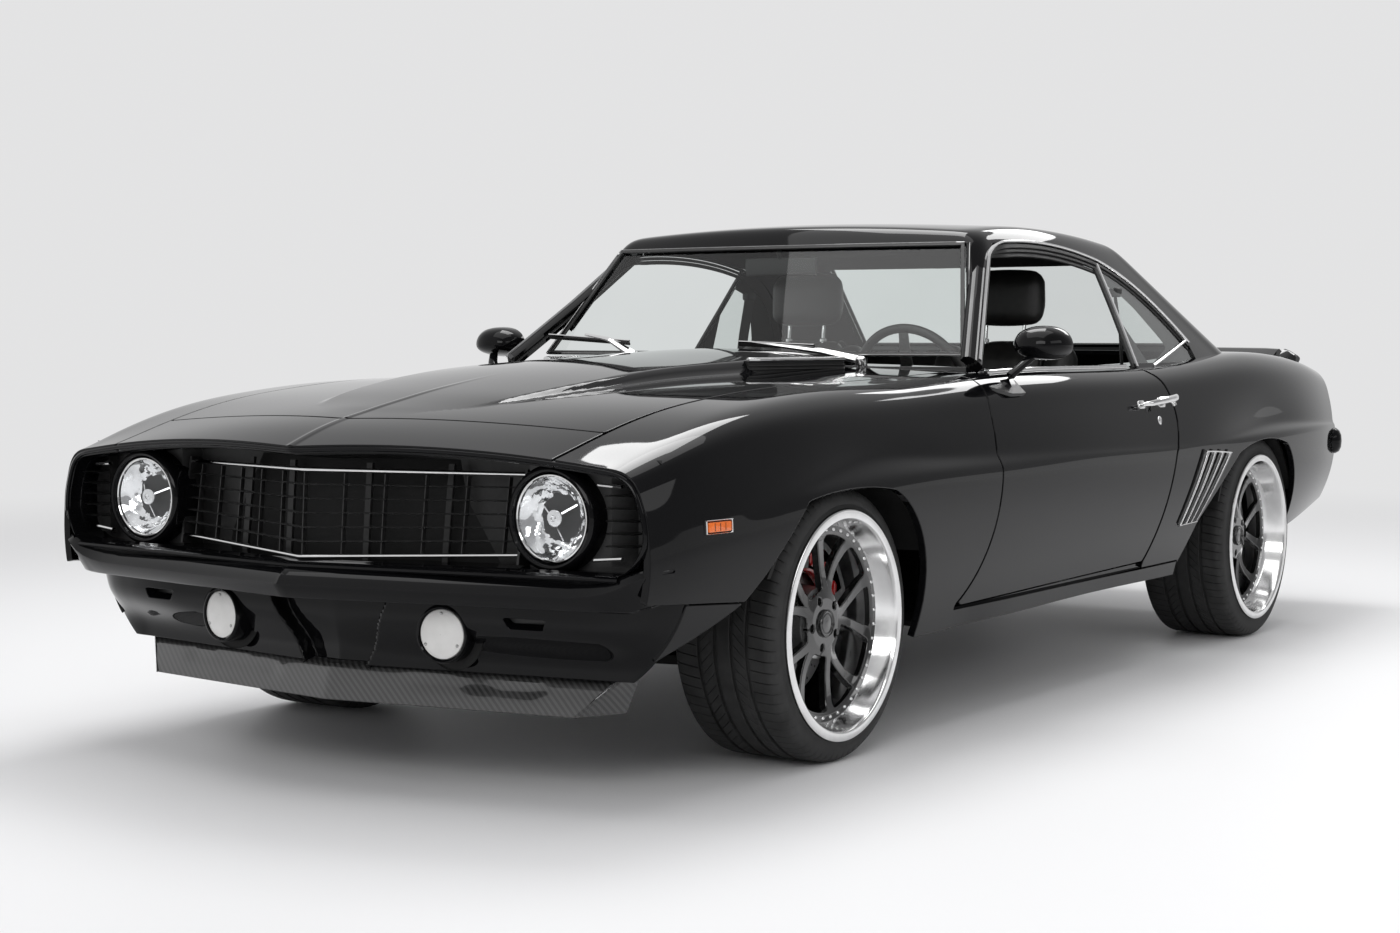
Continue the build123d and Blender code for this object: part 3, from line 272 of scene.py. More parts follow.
PAINT = make_paint()
CHROME = finish_material("chrome_trim", grey(0.72), grey(0.8), (0.03, 0.08), metal=1.0, scale=60)
BLACK_CHROME = finish_material("dark_chrome", grey(0.30), grey(0.38), (0.05, 0.12), metal=1.0,
                               scale=60)
POLISHED = finish_material("polished_lip", grey(0.74), grey(0.86), (0.08, 0.16), metal=1.0,
                           scale=25)
STEEL = finish_material("brushed_steel", grey(0.35), grey(0.5), (0.25, 0.4), metal=1.0, scale=80,
                        stretch=(1, 8, 8))
CAST = finish_material("cast_grey", grey(0.16), grey(0.26), (0.5, 0.65), metal=0.6, scale=50,
                       grain=(300, 0.3, 0.0005))
BLACK_METAL = finish_material("black_metal", grey(0.008), grey(0.014), (0.25, 0.4), coat=0.3,
                              scale=60)
SPOKE_BLACK = finish_material("gloss_black_alloy", grey(0.004), grey(0.008), (0.06, 0.1),
                              coat=1.0, scale=80)
SATIN = finish_material("satin_black", grey(0.010), grey(0.018), (0.35, 0.5), scale=90,
                        grain=(900, 0.15, 0.0002))
RUBBER = finish_material("black_rubber", grey(0.012), grey(0.022), (0.5, 0.7), scale=70,
                         grain=(700, 0.2, 0.0003))
TYRE_RUBBER = finish_material("tyre_rubber", grey(0.016), grey(0.032), (0.55, 0.75), scale=22,
                              grain=(450, 0.3, 0.0004), specular=0.35)
UNDERSIDE = finish_material("underside_coating", grey(0.008), grey(0.014), (0.6, 0.8), scale=30,
                            grain=(200, 0.5, 0.001), specular=0.25)
LEATHER = finish_material("black_leather", (0.010, 0.010, 0.010), (0.018, 0.017, 0.016),
                          (0.38, 0.5), scale=45, grain=(420, 0.5, 0.0008))
DASH = finish_material("dash_vinyl", grey(0.010), grey(0.016), (0.5, 0.62), scale=60,
                       grain=(800, 0.4, 0.0004))
CARPET = finish_material("black_carpet", grey(0.006), grey(0.016), (0.85, 0.95), scale=260,
                         grain=(900, 0.9, 0.002), specular=0.1)
RED = finish_material("caliper_red", (0.30, 0.006, 0.006), (0.38, 0.010, 0.010), (0.15, 0.25),
                      coat=0.8, scale=50)
AMBER = finish_material("amber_lens", (0.75, 0.12, 0.01), (0.9, 0.2, 0.02), (0.08, 0.14),
                        coat=0.6, scale=70, stretch=(1, 30, 1))
RED_LENS = finish_material("red_lens", (0.22, 0.003, 0.003), (0.32, 0.006, 0.006), (0.08, 0.14),
                           coat=0.8, scale=60, stretch=(20, 1, 1))
REFLECTOR = finish_material("lamp_reflector", grey(0.86), grey(0.93), (0.04, 0.1), metal=1.0,
                            scale=30)
FROSTED = finish_material("frosted_lens", (0.66, 0.655, 0.64), (0.76, 0.755, 0.74), (0.2, 0.3),
                          coat=0.7, scale=18)
BAR_GREY = finish_material("grille_bar", grey(0.10), grey(0.16), (0.18, 0.3), metal=0.7,
                           scale=60)
CARBON = make_carbon()
SCREEN_GLASS = make_glass_material("windscreen_glass", (0.84, 0.875, 0.865))
SIDE_GLASS = make_glass_material("side_glass", (0.82, 0.85, 0.84))
LENS_GLASS = make_glass_material("lens_glass", (0.94, 0.95, 0.96))


# ---- mesh building ---------------------------------------------------------------------
def new_object(name, verts, faces, body, material, normals=None, sharp=35.0):
    mesh = bpy.data.meshes.new(name)
    mesh.from_pydata((np.asarray(verts, float) * MM).tolist(), [], [tuple(f) for f in faces])
    mesh.polygons.foreach_set("use_smooth", [True] * len(mesh.polygons))
    if normals is None:
        mesh.set_sharp_from_angle(angle=math.radians(sharp))
    else:
        mesh.normals_split_custom_set_from_vertices(np.asarray(normals, float).tolist())
    obj = bpy.data.objects.new(name, mesh)
    bpy.context.scene.collection.objects.link(obj)
    mesh.materials.append(material)
    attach(obj, body)
    return obj


class Shape:
    """Vertices and faces in millimetres, gathered before they become one object."""

    def __init__(self):
        self.v = []
        self.f = []

    def add(self, verts, faces):
        n = len(self.v)
        self.v.extend([tuple(map(float, p)) for p in verts])
        self.f.extend([tuple(i + n for i in face) for face in faces])
        return self

    def merge(self, other):
        return self.add(other.v, other.f)

    def moved(self, fn):
        out = Shape()
        out.v = [tuple(fn(np.array(p))) for p in self.v]
        out.f = list(self.f)
        return out

    def mirrored(self):
        out = Shape()
        out.v = [(-x, y, z) for x, y, z in self.v]
        out.f = [tuple(reversed(face)) for face in self.f]
        return out

    def both(self):
        return Shape().merge(self).merge(self.mirrored())

    def build(self, name, body, slot, material, sharp=35.0):
        return new_object(name, self.v, self.f, body, material, sharp=sharp)


def rings(loops, closed=True, caps=(True, True)):
    """Skin over a row of loops with the same number of points."""
    s = Shape()
    n = len(loops[0])
    verts = [p for loop in loops for p in loop]
    faces = []
    for i in range(len(loops) - 1):
        for j in range(n if closed else n - 1):
            k = (j + 1) % n
            faces.append((i * n + j, i * n + k, (i + 1) * n + k, (i + 1) * n + j))
    if closed and caps[0]:
        faces.append(tuple(reversed(range(n))))
    if closed and caps[1]:
        faces.append(tuple(range((len(loops) - 1) * n, len(loops) * n)))
    s.add(verts, faces)
    return s


def unit(a):
    a = np.asarray(a, float)
    return a / np.maximum(np.linalg.norm(a, axis=-1, keepdims=True), 1e-9)


def sweep(path, profile, up=(0, 0, 1), scale=None):
    """Profile (list of side, up) carried along a path; side is path direction x up."""
    path = np.asarray(path, float)
    tang = unit(np.gradient(path, axis=0))
    upv = np.asarray(up, float)
    if upv.ndim == 1:
        upv = np.tile(upv, (len(path), 1))
    side = unit(np.cross(tang, upv))
    up2 = np.cross(side, tang)
    loops = []
    for i, p in enumerate(path):
        k = 1.0 if scale is None else scale[i]
        loops.append([p + side[i] * a * k + up2[i] * b * k for a, b in profile])
    return rings(loops)


def circle(radius, n=12):
    return oval(radius, radius, n)


def oval(wide, tall, n):
    return [(wide * math.cos(2 * math.pi * i / n), tall * math.sin(2 * math.pi * i / n))
            for i in range(n)]


def round_corners(u0, u1, v0, v1, r, steps, inset=0.0):
    """Points round a rectangle, each corner an arc in so many steps, drawn in by inset."""
    pts = []
    for u, v, start in ((u1 - r, v1 - r, 0), (u0 + r, v1 - r, 90), (u0 + r, v0 + r, 180),
                        (u1 - r, v0 + r, 270)):
        for k in range(steps + 1):
            t = math.radians(start + 90 * k / steps)
            pts.append((u + (r - inset) * math.cos(t), v + (r - inset) * math.sin(t)))
    return pts


def lathe(profile, axis, centre, n=64, caps=False):
    """Profile (along the axis, radius) turned about an axis through centre."""
    axis = unit(axis)
    other = np.array((0, 0, 1.0)) if abs(axis[2]) < 0.9 else np.array((1.0, 0, 0))
    a = unit(np.cross(other, axis))
    b = np.cross(axis, a)
    c = np.asarray(centre, float)
    loops = []
    for h, r in profile:
        loops.append([c + axis * h + (a * math.cos(t) + b * math.sin(t)) * r
                      for t in np.linspace(0, 2 * math.pi, n, endpoint=False)])
    return rings(loops, caps=(caps, caps))


def block(x0, x1, y0, y1, z0, z1, r=2.0, segments=2):
    """Box with rounded edges: a rounded outline in plan, drawn in at top and bottom."""
    r = min(r, (x1 - x0) / 2.01, (y1 - y0) / 2.01, (z1 - z0) / 2.01)

    def level(t, z, sign):
        inset = r * (1 - math.sin(t)) * 0.98
        height = z + sign * r * (1 - math.cos(t))
        return [(x, y, height) for x, y in round_corners(x0, x1, y0, y1, r, segments, inset)]

    turns = [math.radians(90 * k / segments) for k in range(segments + 1)]
    return rings([level(t, z0, 1) for t in turns] + [level(t, z1, -1) for t in reversed(turns)])


def tube(path, radius, n=10, up=(0, 0, 1)):
    return sweep(path, circle(radius, n), up)


def lathe_x(profile, centre=(0, 0, 0), n=64, caps=False):
    return lathe(profile, (1, 0, 0), centre, n, caps)


# ---- body sections, in millimetres -----------------------------------------------------
# lower edge xl zl with its bulge low, crease xw zw, ledge xe ze, shoulder from xs zs to
# xt zt with its bulge top, height at the middle zc
Station = namedtuple("Station", "y xl zl low xw zw xe ze xs zs xt zt top zc")
BODY = [
    Station(-2340, 735, 268, 42, 846, 560, 843, 600, 828, 645, 750, 705, 18, 752),
    Station(-2200, 742, 268, 42, 868, 560, 865, 602, 850, 660, 770, 731, 22, 800),
    Station(-2050, 750, 267, 42, 892, 566, 890, 606, 874, 697, 784, 774, 24, 832),
    Station(-1850, 800, 264, 34, 910, 600, 907, 640, 884, 742, 790, 826, 25, 858),
    Station(-1600, 850, 262, 22, 922, 640, 905, 670, 886, 777, 790, 860, 25, 880),
    Station(-1365, 866, 262, 14, 926, 655, 893, 706, 884, 792, 790, 877, 24, 895),
    Station(-1000, 868, 260, 12, 926, 665, 897, 706, 882, 798, 792, 884, 24, 908),
    Station(-640, 868, 262, 12, 925, 663, 906, 698, 883, 812, 800, 897, 22, 918),
    Station(-50, 868, 268, 12, 925, 666, 917, 685, 886, 824, 812, 907, 20, 926),
    Station(555, 868, 266, 12, 925, 660, 920, 675, 889, 826, 812, 907, 20, 928),
    Station(950, 866, 272, 12, 927, 664, 920, 680, 893, 838, 806, 922, 22, 936),
    Station(1378, 862, 300, 14, 932, 674, 899, 706, 892, 852, 794, 944, 24, 950),
    Station(1800, 846, 345, 18, 916, 680, 892, 703, 876, 842, 774, 934, 24, 944),
    Station(2100, 820, 385, 20, 882, 678, 868, 693, 848, 816, 756, 910, 22, 926),
    Station(2300, 796, 410, 20, 848, 674, 840, 686, 822, 790, 738, 886, 20, 906),
]
FRONT_AXLE_Y = -1365.0
REAR_AXLE_Y = 1378.0
GAP = 7.0
DOOR_GAP_REAR = 10.0
PANEL_EDGE = 2.5
NOSE_TIP_Y = -2318.0
NOSE_SLOPE = 0.15
TAIL_Y = 2288.0


def spline_table(x, y, at):
    """Natural cubic through the points x, y (rows of y are columns), read at each of at."""
    x = np.asarray(x, float)
    y = np.asarray(y, float).reshape(len(x), -1)
    at = np.asarray(at, float)
    n = len(x)
    h = np.diff(x)
    a = np.zeros((n, n))
    r = np.zeros_like(y)
    a[0, 0] = a[-1, -1] = 1
    for i in range(1, n - 1):
        a[i, i - 1] = h[i - 1]
        a[i, i] = 2 * (h[i - 1] + h[i])
        a[i, i + 1] = h[i]
        r[i] = 6 * ((y[i + 1] - y[i]) / h[i] - (y[i] - y[i - 1]) / h[i - 1])
    m = np.linalg.solve(a, r)
    k = np.clip(np.searchsorted(x, at) - 1, 0, n - 2)
    t = (at - x[k])[:, None]
    hk = h[k][:, None]
    left = (y[k + 1] - y[k]) / hk - hk * (2 * m[k] + m[k + 1]) / 6
    return y[k] + left * t + m[k] / 2 * t ** 2 + (m[k + 1] - m[k]) / (6 * hk) * t ** 3


def bulged(a, b, bulge, count):
    """Points from a to b (arrays of x, z by row) on a shallow curve pushed to the right."""
    t = np.linspace(0, 1, count, endpoint=False)[None, :, None]
    a = a[:, None, :]
    b = b[:, None, :]
    d = b - a
    n = np.stack([d[..., 1], -d[..., 0]], -1)
    n = n / np.linalg.norm(n, axis=-1, keepdims=True)
    return a + d * t + n * (4 * np.asarray(bulge)[:, None, None] * t * (1 - t))


# points up each part of a section: side, crease, ledge, shoulder
COUNTS = (36, 6, 13, 17)
CREASE_J = COUNTS[0]


def body_grid(ys, crown_count=70):
    """Points of the left half: rows along y, columns from the lower edge up to the middle."""
    c = spline_table([s.y for s in BODY], [s[1:] for s in BODY], ys)
    col = dict(zip(Station._fields[1:], c.T))
    low, crease, ledge, shoulder, top = (np.stack([col["x" + k], col["z" + k]], 1)
                                         for k in "lwest")
    flat = 0 * col["low"]
    parts = [bulged(a, b, bulge, count) for a, b, bulge, count in zip(
        (low, crease, ledge, shoulder), (crease, ledge, shoulder, top),
        (col["low"], flat, flat + 3, col["top"]), COUNTS)]
    t = np.linspace(0, 1, crown_count + 1)[None, :]
    x = col["xt"][:, None] * (1 - t)
    z = col["zc"][:, None] - (col["zc"] - col["zt"])[:, None] * (1 - t) ** 2
    parts.append(np.stack([x, z], -1))
    p = np.concatenate(parts, 1)
    n = p.shape[1]
    w = np.full(n, 0.5)
    w[:3] = 0
    w[CREASE_J - 3:CREASE_J + 10] = 0.22
    for _ in range(9):
        p[:, 1:-1] += w[None, 1:-1, None] * ((p[:, :-2] + p[:, 2:]) / 2 - p[:, 1:-1])
    along = np.broadcast_to(np.asarray(ys, float)[:, None], p.shape[:2])
    return np.stack([p[..., 0], along, p[..., 1]], -1)


def grid_normals(p):
    a = np.gradient(p, axis=0)
    b = np.gradient(p, axis=1)
    return unit(np.cross(a, b))


def grid_faces(rows, cols):
    i, j = np.meshgrid(np.arange(rows - 1), np.arange(cols - 1), indexing="ij")
    a = (i * cols + j).ravel()
    return np.stack([a, a + cols, a + cols + 1, a + 1], 1).tolist()


def full_grid(half):
    other = half[:, -2::-1].copy()
    other[..., 0] *= -1
    return np.concatenate([half, other], 1)


# ---- cutting a surface to an outline ---------------------------------------------------
def arc3(a, m, b, n=14):
    """Points of the arc from a through m to b, without b."""
    (ax, ay), (mx, my), (bx, by) = a, m, b
    d = 2 * (ax * (my - by) + mx * (by - ay) + bx * (ay - my))
    if abs(d) < 1e-6:
        return [(ax + (bx - ax) * i / n, ay + (by - ay) * i / n) for i in range(n)]
    ux = ((ax * ax + ay * ay) * (my - by) + (mx * mx + my * my) * (by - ay)
          + (bx * bx + by * by) * (ay - my)) / d
    uy = ((ax * ax + ay * ay) * (bx - mx) + (mx * mx + my * my) * (ax - bx)
          + (bx * bx + by * by) * (mx - ax)) / d
    r = math.hypot(ax - ux, ay - uy)
    t0 = math.atan2(ay - uy, ax - ux)
    t1 = math.atan2(my - uy, mx - ux)
    t2 = math.atan2(by - uy, bx - ux)
    turn = (t2 - t0) % (2 * math.pi)
    if (t1 - t0) % (2 * math.pi) > turn:
        turn -= 2 * math.pi
    return [(ux + r * math.cos(t0 + turn * i / n), uy + r * math.sin(t0 + turn * i / n))
            for i in range(n)]


def outline(*parts):
    """Closed outline from points; a point given as (mid, end) makes an arc to its end."""
    pts = []
    here = None
    for part in parts:
        if isinstance(part[0], tuple):
            pts += arc3(here, part[0], part[1])
            here = part[1]
        else:
            if here is not None:
                pts.append(here)
            here = part
    pts.append(here)
    return np.array(pts, float)


def outline_distance(poly, u, v):
    """Signed distance to a closed outline, below zero inside."""
    p = np.stack([u, v], 1)
    best = np.full(len(p), 1e18)
    inside = np.zeros(len(p), bool)
    for a, b in zip(poly, np.roll(poly, -1, axis=0)):
        d = b - a
        k = d @ d
        if k < 1e-9:
            continue
        t = np.clip(((p - a) @ d) / k, 0, 1)
        e = p - a - t[:, None] * d
        best = np.minimum(best, (e * e).sum(1))
        crosses = ((a[1] > p[:, 1]) != (b[1] > p[:, 1]))
        if a[1] != b[1]:
            x = a[0] + (p[:, 1] - a[1]) / (b[1] - a[1]) * d[0]
            inside ^= crosses & (p[:, 0] < x)
    dist = np.sqrt(best)
    return np.where(inside, -dist, dist)


AXES = {"side": (1, 2), "front": (0, 2), "plan": (0, 1)}


def keep_in(poly, view, margin=0.0):
    """Field below zero inside the outline pulled in by margin."""
    i, j = AXES[view]
    return lambda p: outline_distance(poly, p[:, i], p[:, j]) + margin


def keep_out(poly, view, margin=0.0):
    """Field below zero outside the outline pushed out by margin."""
    i, j = AXES[view]
    return lambda p: margin - outline_distance(poly, p[:, i], p[:, j])


def clip_mesh(p, n, faces, field):
    """Keeps the part of a mesh where the field is below zero, with new points on its edge."""
    val = field(p)
    val = np.where(np.abs(val) < 0.6, 0.0, val)
    state = np.sign(val).astype(int)
    new_p, new_n, cache, out = [], [], {}, []
    base = len(p)
    for face in faces:
        s = [state[i] for i in face]
        high = max(s)
        if high <= 0:
            if min(s) < 0:
                out.append(face)
            continue
        if min(s) >= 0:
            continue
        poly = []
        k = len(face)
        for q in range(k):
            a, b = face[q], face[(q + 1) % k]
            if s[q] <= 0:
                poly.append(a)
            if s[q] * s[(q + 1) % k] < 0:
                key = (a, b) if a < b else (b, a)
                if key not in cache:
                    va, vb = val[key[0]], val[key[1]]
                    t = va / (va - vb)
                    cache[key] = base + len(new_p)
                    new_p.append(p[key[0]] * (1 - t) + p[key[1]] * t)
                    new_n.append(n[key[0]] * (1 - t) + n[key[1]] * t)
                poly.append(cache[key])
        if len(poly) >= 3:
            out.append(poly)
    if new_p:
        p = np.concatenate([p, np.array(new_p)])
        n = unit(np.concatenate([n, np.array(new_n)]))
    used = np.zeros(len(p), bool)
    for face in out:
        used[face] = True
    index = np.cumsum(used) - 1
    return p[used], n[used], [[int(index[i]) for i in face] for face in out]


def edge_loops(faces):
    """Loops of the open edge, each in the direction of its faces."""
    edges = {}
    for face in faces:
        for a, b in zip(face, face[1:] + face[:1]):
            edges[(a, b)] = True
    follow = {}
    for a, b in edges:
        if (b, a) not in edges:
            follow.setdefault(a, []).append(b)
    loops = []
    while follow:
        start = next(iter(follow))
        loop = [start]
        here = start
        while True:
            nexts = follow.get(here)
            if not nexts:
                break
            step = nexts.pop()
            if not nexts:
                del follow[here]
            if step == start:
                break
            loop.append(step)
            here = step
        if len(loop) > 2:
            loops.append(loop)
    return loops


def edge_frames(p, n, loop):
    """Outward direction in the surface at each point of an edge loop."""
    q = p[loop]
    nn = n[loop]
    after = np.roll(q, -1, axis=0) - q
    out = np.cross(after, nn)
    both = out + np.roll(out, 1, axis=0)
    both -= nn * (both * nn).sum(1, keepdims=True)
    return unit(both)


def rolled_edge(p, n, faces, radius, depth, steps=(30, 60, 90)):
    """Adds a rounded edge and a flange to every open edge of a surface."""
    verts = [p]
    norms = [n]
    faces = [list(f) for f in faces]
    count = len(p)
    for loop in edge_loops(faces):
        d = edge_frames(p, n, loop)
        q = p[loop]
        nn = n[loop]
        last = list(loop)
        m = len(loop)
        stages = [(math.sin(math.radians(a)), 1 - math.cos(math.radians(a)), a) for a in steps]
        offsets = [(radius * s, -radius * c, a) for s, c, a in stages]
        offsets.append((radius, -radius - depth, 90))
        for along, down, angle in offsets:
            verts.append(q + d * along + nn * down)
            norms.append(d * math.sin(math.radians(angle)) + nn * math.cos(math.radians(angle)))
            ring = list(range(count, count + m))
            count += m
            for k in range(m):
                k2 = (k + 1) % m
                faces.append([last[k2], last[k], ring[k], ring[k2]])
            last = ring
    return np.concatenate(verts), unit(np.concatenate(norms)), faces


def cut_surface(p, n, faces, fields):
    for field in fields:
        p, n, faces = clip_mesh(p, n, faces, field)
    return p, n, faces


def mirrored_surface(p, n, faces):
    m = np.array((-1.0, 1, 1))
    return p * m, n * m, [list(reversed(f)) for f in faces]


def inner_copy(p, n, faces, depth):
    return p - n * depth, -n, [list(reversed(f)) for f in faces]


def joined(*surfaces):
    vs, ns, fs, count = [], [], [], 0
    for p, n, f in surfaces:
        vs.append(p)
        ns.append(n)
        fs += [[i + count for i in face] for face in f]
        count += len(p)
    return np.concatenate(vs), np.concatenate(ns), fs


def surface_object(name, surface, body, material=None):
    p, n, f = surface
    return new_object(name, p, f, body, material or PAINT, normals=n)


def body_surface(y0, y1, half=True, step=12.0, crown_count=70):
    ys = np.arange(y0, y1 + step, step)
    g = body_grid(ys, crown_count)
    if not half:
        g = full_grid(g)
    n = grid_normals(g)
    return g.reshape(-1, 3), n.reshape(-1, 3), grid_faces(g.shape[0], g.shape[1])


# ---- outlines seen from the side: y, z -------------------------------------------------
DOOR = outline((-625, 1000), (-640, 690), ((-706, 427), (-826, 318)), (388, 332),
               ((478, 450), (556, 650)), ((582, 800), (495, 893)), (495, 1000))
AHEAD_OF_DOOR = outline((-625, 1000), (-640, 690), ((-706, 427), (-826, 318)), (-826, 150),
                        (2500, 150), (2500, 1000))
DOOR_REAR_CUT = outline((-2500, 1000), (-2500, 100), (388, 100), (388, 332),
                        ((478, 450), (556, 650)), ((582, 800), (495, 893)), (495, 1000))


def shifted(points, y):
    out = []
    for part in points:
        if isinstance(part[0], tuple):
            out.append(tuple((a + y, b) for a, b in part))
        else:
            out.append((part[0] + y, part[1]))
    return out


FRONT_ARCH = outline(*shifted([(300, 150), (338, 254), ((322, 470), (145, 637)),
                               ((-55, 652), (-256, 634)), (-482, 426), (-684, 322),
                               (-790, 262), (-790, 150)], FRONT_AXLE_Y))
REAR_ARCH = outline(*shifted([(330, 150), (345, 300), ((312, 500), (170, 640)),
                              ((-30, 662), (-280, 626)), (-583, 424), (-693, 300),
                              (-760, 240), (-760, 150)], REAR_AXLE_Y))
FRONT_SEAM = outline((-2450, 469.4), (FRONT_AXLE_Y - 482, 428), (FRONT_AXLE_Y, 428),
                     (FRONT_AXLE_Y, 150), (-2450, 150))

HOOD_TIP_Y = -2128.0
HOOD_REAR_Y = -530.0
LID_FRONT_Y = 1590.0


def hood_edge_x(y):
    return 640.0 + 60.0 * (y - NOSE_TIP_Y) / (HOOD_REAR_Y - NOSE_TIP_Y)


corner_y = HOOD_TIP_Y + NOSE_SLOPE * 640.0
HOOD_PLAN = np.array([(0, HOOD_TIP_Y), (hood_edge_x(corner_y), corner_y), (700, HOOD_REAR_Y),
                      (0, HOOD_REAR_Y), (-700, HOOD_REAR_Y),
                      (-hood_edge_x(corner_y), corner_y)], float)
LID_PLAN = np.array([(-640, LID_FRONT_Y), (640, LID_FRONT_Y), (668, TAIL_Y + 60),
                     (-668, TAIL_Y + 60)], float)


def behind_nose(margin):
    return lambda p: v_plane(p[:, 0]) + margin - p[:, 1]


def v_plane(x):
    """The nose's plane in plan: y at each x."""
    return NOSE_TIP_Y + NOSE_SLOPE * np.abs(x)


def below(z):
    return lambda p: p[:, 2] - z


def above(z):
    return lambda p: z - p[:, 2]


def y_before(y):
    return lambda p: p[:, 1] - y


def y_after(y):
    return lambda p: y - p[:, 1]


def x_beyond(x):
    return lambda p: x - p[:, 0]


# ---- front fender ----------------------------------------------------------------------
def fender_surface():
    s = body_surface(-2345, -540)
    fields = [
        y_before(-532),
        lambda p: (647 + 60 * (p[:, 1] + 2400) / 1840) + 1.5 - p[:, 0],
        behind_nose(6.0),
        keep_out(FRONT_SEAM, "side", 1.5),
        keep_out(AHEAD_OF_DOOR, "side", GAP + 1.5),
        keep_out(FRONT_ARCH, "side", 2.0),
    ]
    return rolled_edge(*cut_surface(*s, fields), PANEL_EDGE, 16)


def both_panels(name, surface, stands_for=None):
    """The left panel and its mirror, in place of the two nodes they stand for."""
    for side, s in (("left", surface), ("right", mirrored_surface(*surface))):
        skin = surface_object(f"{name}_{side}", s, "body")
        if stands_for:
            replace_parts(skin, f"{stands_for}_{side}")


both_panels("fender_skin", fender_surface(), "fender")


# ---- door ------------------------------------------------------------------------------
def door_surface():
    s = body_surface(-850, 620)
    outer = cut_surface(*s, [keep_in(DOOR, "side", 1.5), x_beyond(766)])
    shell = rolled_edge(*outer, PANEL_EDGE, 58)
    coarse = body_surface(-850, 620, step=24.0, crown_count=20)
    card = cut_surface(*coarse, [keep_in(DOOR, "side", 8), x_beyond(790), below(890),
                                 above(330)])
    return shell, inner_copy(*card, 62)


door, card = door_surface()
for side in ("left", "right"):
    if side == "right":
        door, card = mirrored_surface(*door), mirrored_surface(*card)
    skin = surface_object(f"door_skin_{side}", door, f"door_{side}")
    surface_object(f"door_card_{side}", card, f"door_{side}",
                   material=LEATHER)
    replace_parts(skin, f"door_{side}")


# ---- rear quarter ----------------------------------------------------------------------
def quarter_surface():
    s = body_surface(370, 2300)
    plan = np.array([(690, 360), (1000, 360), (1000, 2320), (675.5, 2320), (647, 1580),
                     (690, 1580)], float)
    fields = [
        keep_in(plan, "plan", 1.5),
        y_before(TAIL_Y - 6),
        keep_out(np.array([(200, 100), (REAR_AXLE_Y - 693, 100), (REAR_AXLE_Y - 693, 312),
                           (200, 312)], float), "side", 1.0),
        keep_out(DOOR_REAR_CUT, "side", DOOR_GAP_REAR + 1.5),
        keep_out(REAR_ARCH, "side", 2.0),
    ]
    return rolled_edge(*cut_surface(*s, fields), PANEL_EDGE, 16)


both_panels("quarter_skin", quarter_surface(), "quarter")


# ---- hood with its scoop, and trunk lid ------------------------------------------------
Scoop = namedtuple("Scoop", "y half wall crest")
SCOOP = [Scoop(-2118, 150, 0, 0), Scoop(-1960, 252, 0, 5), Scoop(-1862, 291, 7, 11),
         Scoop(-1742, 316, 13, 18), Scoop(-1614, 336, 18, 25), Scoop(-1418, 347, 24, 33),
         Scoop(-935, 346, 30, 43), Scoop(-580, 346, 31, 47), Scoop(-480, 346, 31, 47)]


def smooth_step(t):
    t = np.clip(t, 0, 1)
    return t * t * t * (t * (6 * t - 15) + 10)


WALL_RUN = 36.0
RIDGE_HEIGHT = 3.0


def scoop_lift(x, y):
    """Height of the scoop above the plain hood: low walls that grow from a point, under a
    crowned top, and a fine ridge down the middle."""
    x = np.abs(x)
    start, end = SCOOP[0].y, SCOOP[-1].y
    c = spline_table([s.y for s in SCOOP], [s[1:] for s in SCOOP], np.clip(y, start, end).ravel())
    half, wall, crest = [v.reshape(np.shape(y)) for v in c.T]
    fade = smooth_step((y - start) / 120) * smooth_step((-538 - y) / 42)
    top = wall + (crest - wall) * (1 - (x / half) ** 2)
    lift = np.maximum(top, 0) * smooth_step((half - x) / WALL_RUN) * fade
    return lift + RIDGE_HEIGHT * np.exp(-(x / 7.0) ** 2) * smooth_step((-1500 - y) / 500)


def with_scoop(surface):
    """Lifts the surface by the scoop and tilts its normals to match."""
    p, n, faces = surface
    x, y = p[:, 0], p[:, 1]
    slope_x = (scoop_lift(x + 1, y) - scoop_lift(x - 1, y)) / 2
    slope_y = (scoop_lift(x, y + 1) - scoop_lift(x, y - 1)) / 2
    upright = np.where(n[:, 2] > 0.3, n[:, 2], 0)
    q = p.copy()
    q[:, 2] += scoop_lift(x, y) * (upright > 0)
    m = n - np.column_stack([slope_x, slope_y, 0 * x]) * upright[:, None]
    return q, unit(m), faces


def hood_surface(step=12.0, crown_count=96):
    s = with_scoop(body_surface(-2140, -520, half=False, step=step, crown_count=crown_count))
    return cut_surface(*s, [keep_in(HOOD_PLAN, "plan", 1.5), above(600)])


def lid_surface(step=12.0, crown_count=60):
    s = body_surface(1570, 2300, half=False, step=step, crown_count=crown_count)
    return cut_surface(*s, [keep_in(LID_PLAN, "plan", 1.5), y_before(TAIL_Y - 9), above(700)])


hood = rolled_edge(*hood_surface(), PANEL_EDGE, 17)
hood_inner = inner_copy(*hood_surface(24.0, 48), 18)
lid = rolled_edge(*lid_surface(), 9.0, 14, steps=(15, 30, 45, 60, 75, 90))
lid_inner = inner_copy(*lid_surface(24.0, 30), 18)
for name, body, outer, inner in (("hood", "hood", hood, hood_inner),
                                 ("lid", "trunk_lid", lid, lid_inner)):
    skin = surface_object(f"{name}_skin", outer, body)
    surface_object(f"{name}_inner", inner, body, material=BLACK_METAL)
    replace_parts(skin, body)


# ---- header across the nose, cowl and the panel below the rear window ------------------
def header_surface():
    s = with_scoop(body_surface(-2345, -2020, half=False, crown_count=80))
    fields = [behind_nose(6.0),
              lambda p: np.abs(p[:, 0]) - 642 + 2.5 - 0.0325 * (p[:, 1] - NOSE_TIP_Y),
              lambda p: p[:, 1] - (v_plane(p[:, 0]) + 183 - 1.5), above(600)]
    return rolled_edge(*cut_surface(*s, fields), PANEL_EDGE, 16)


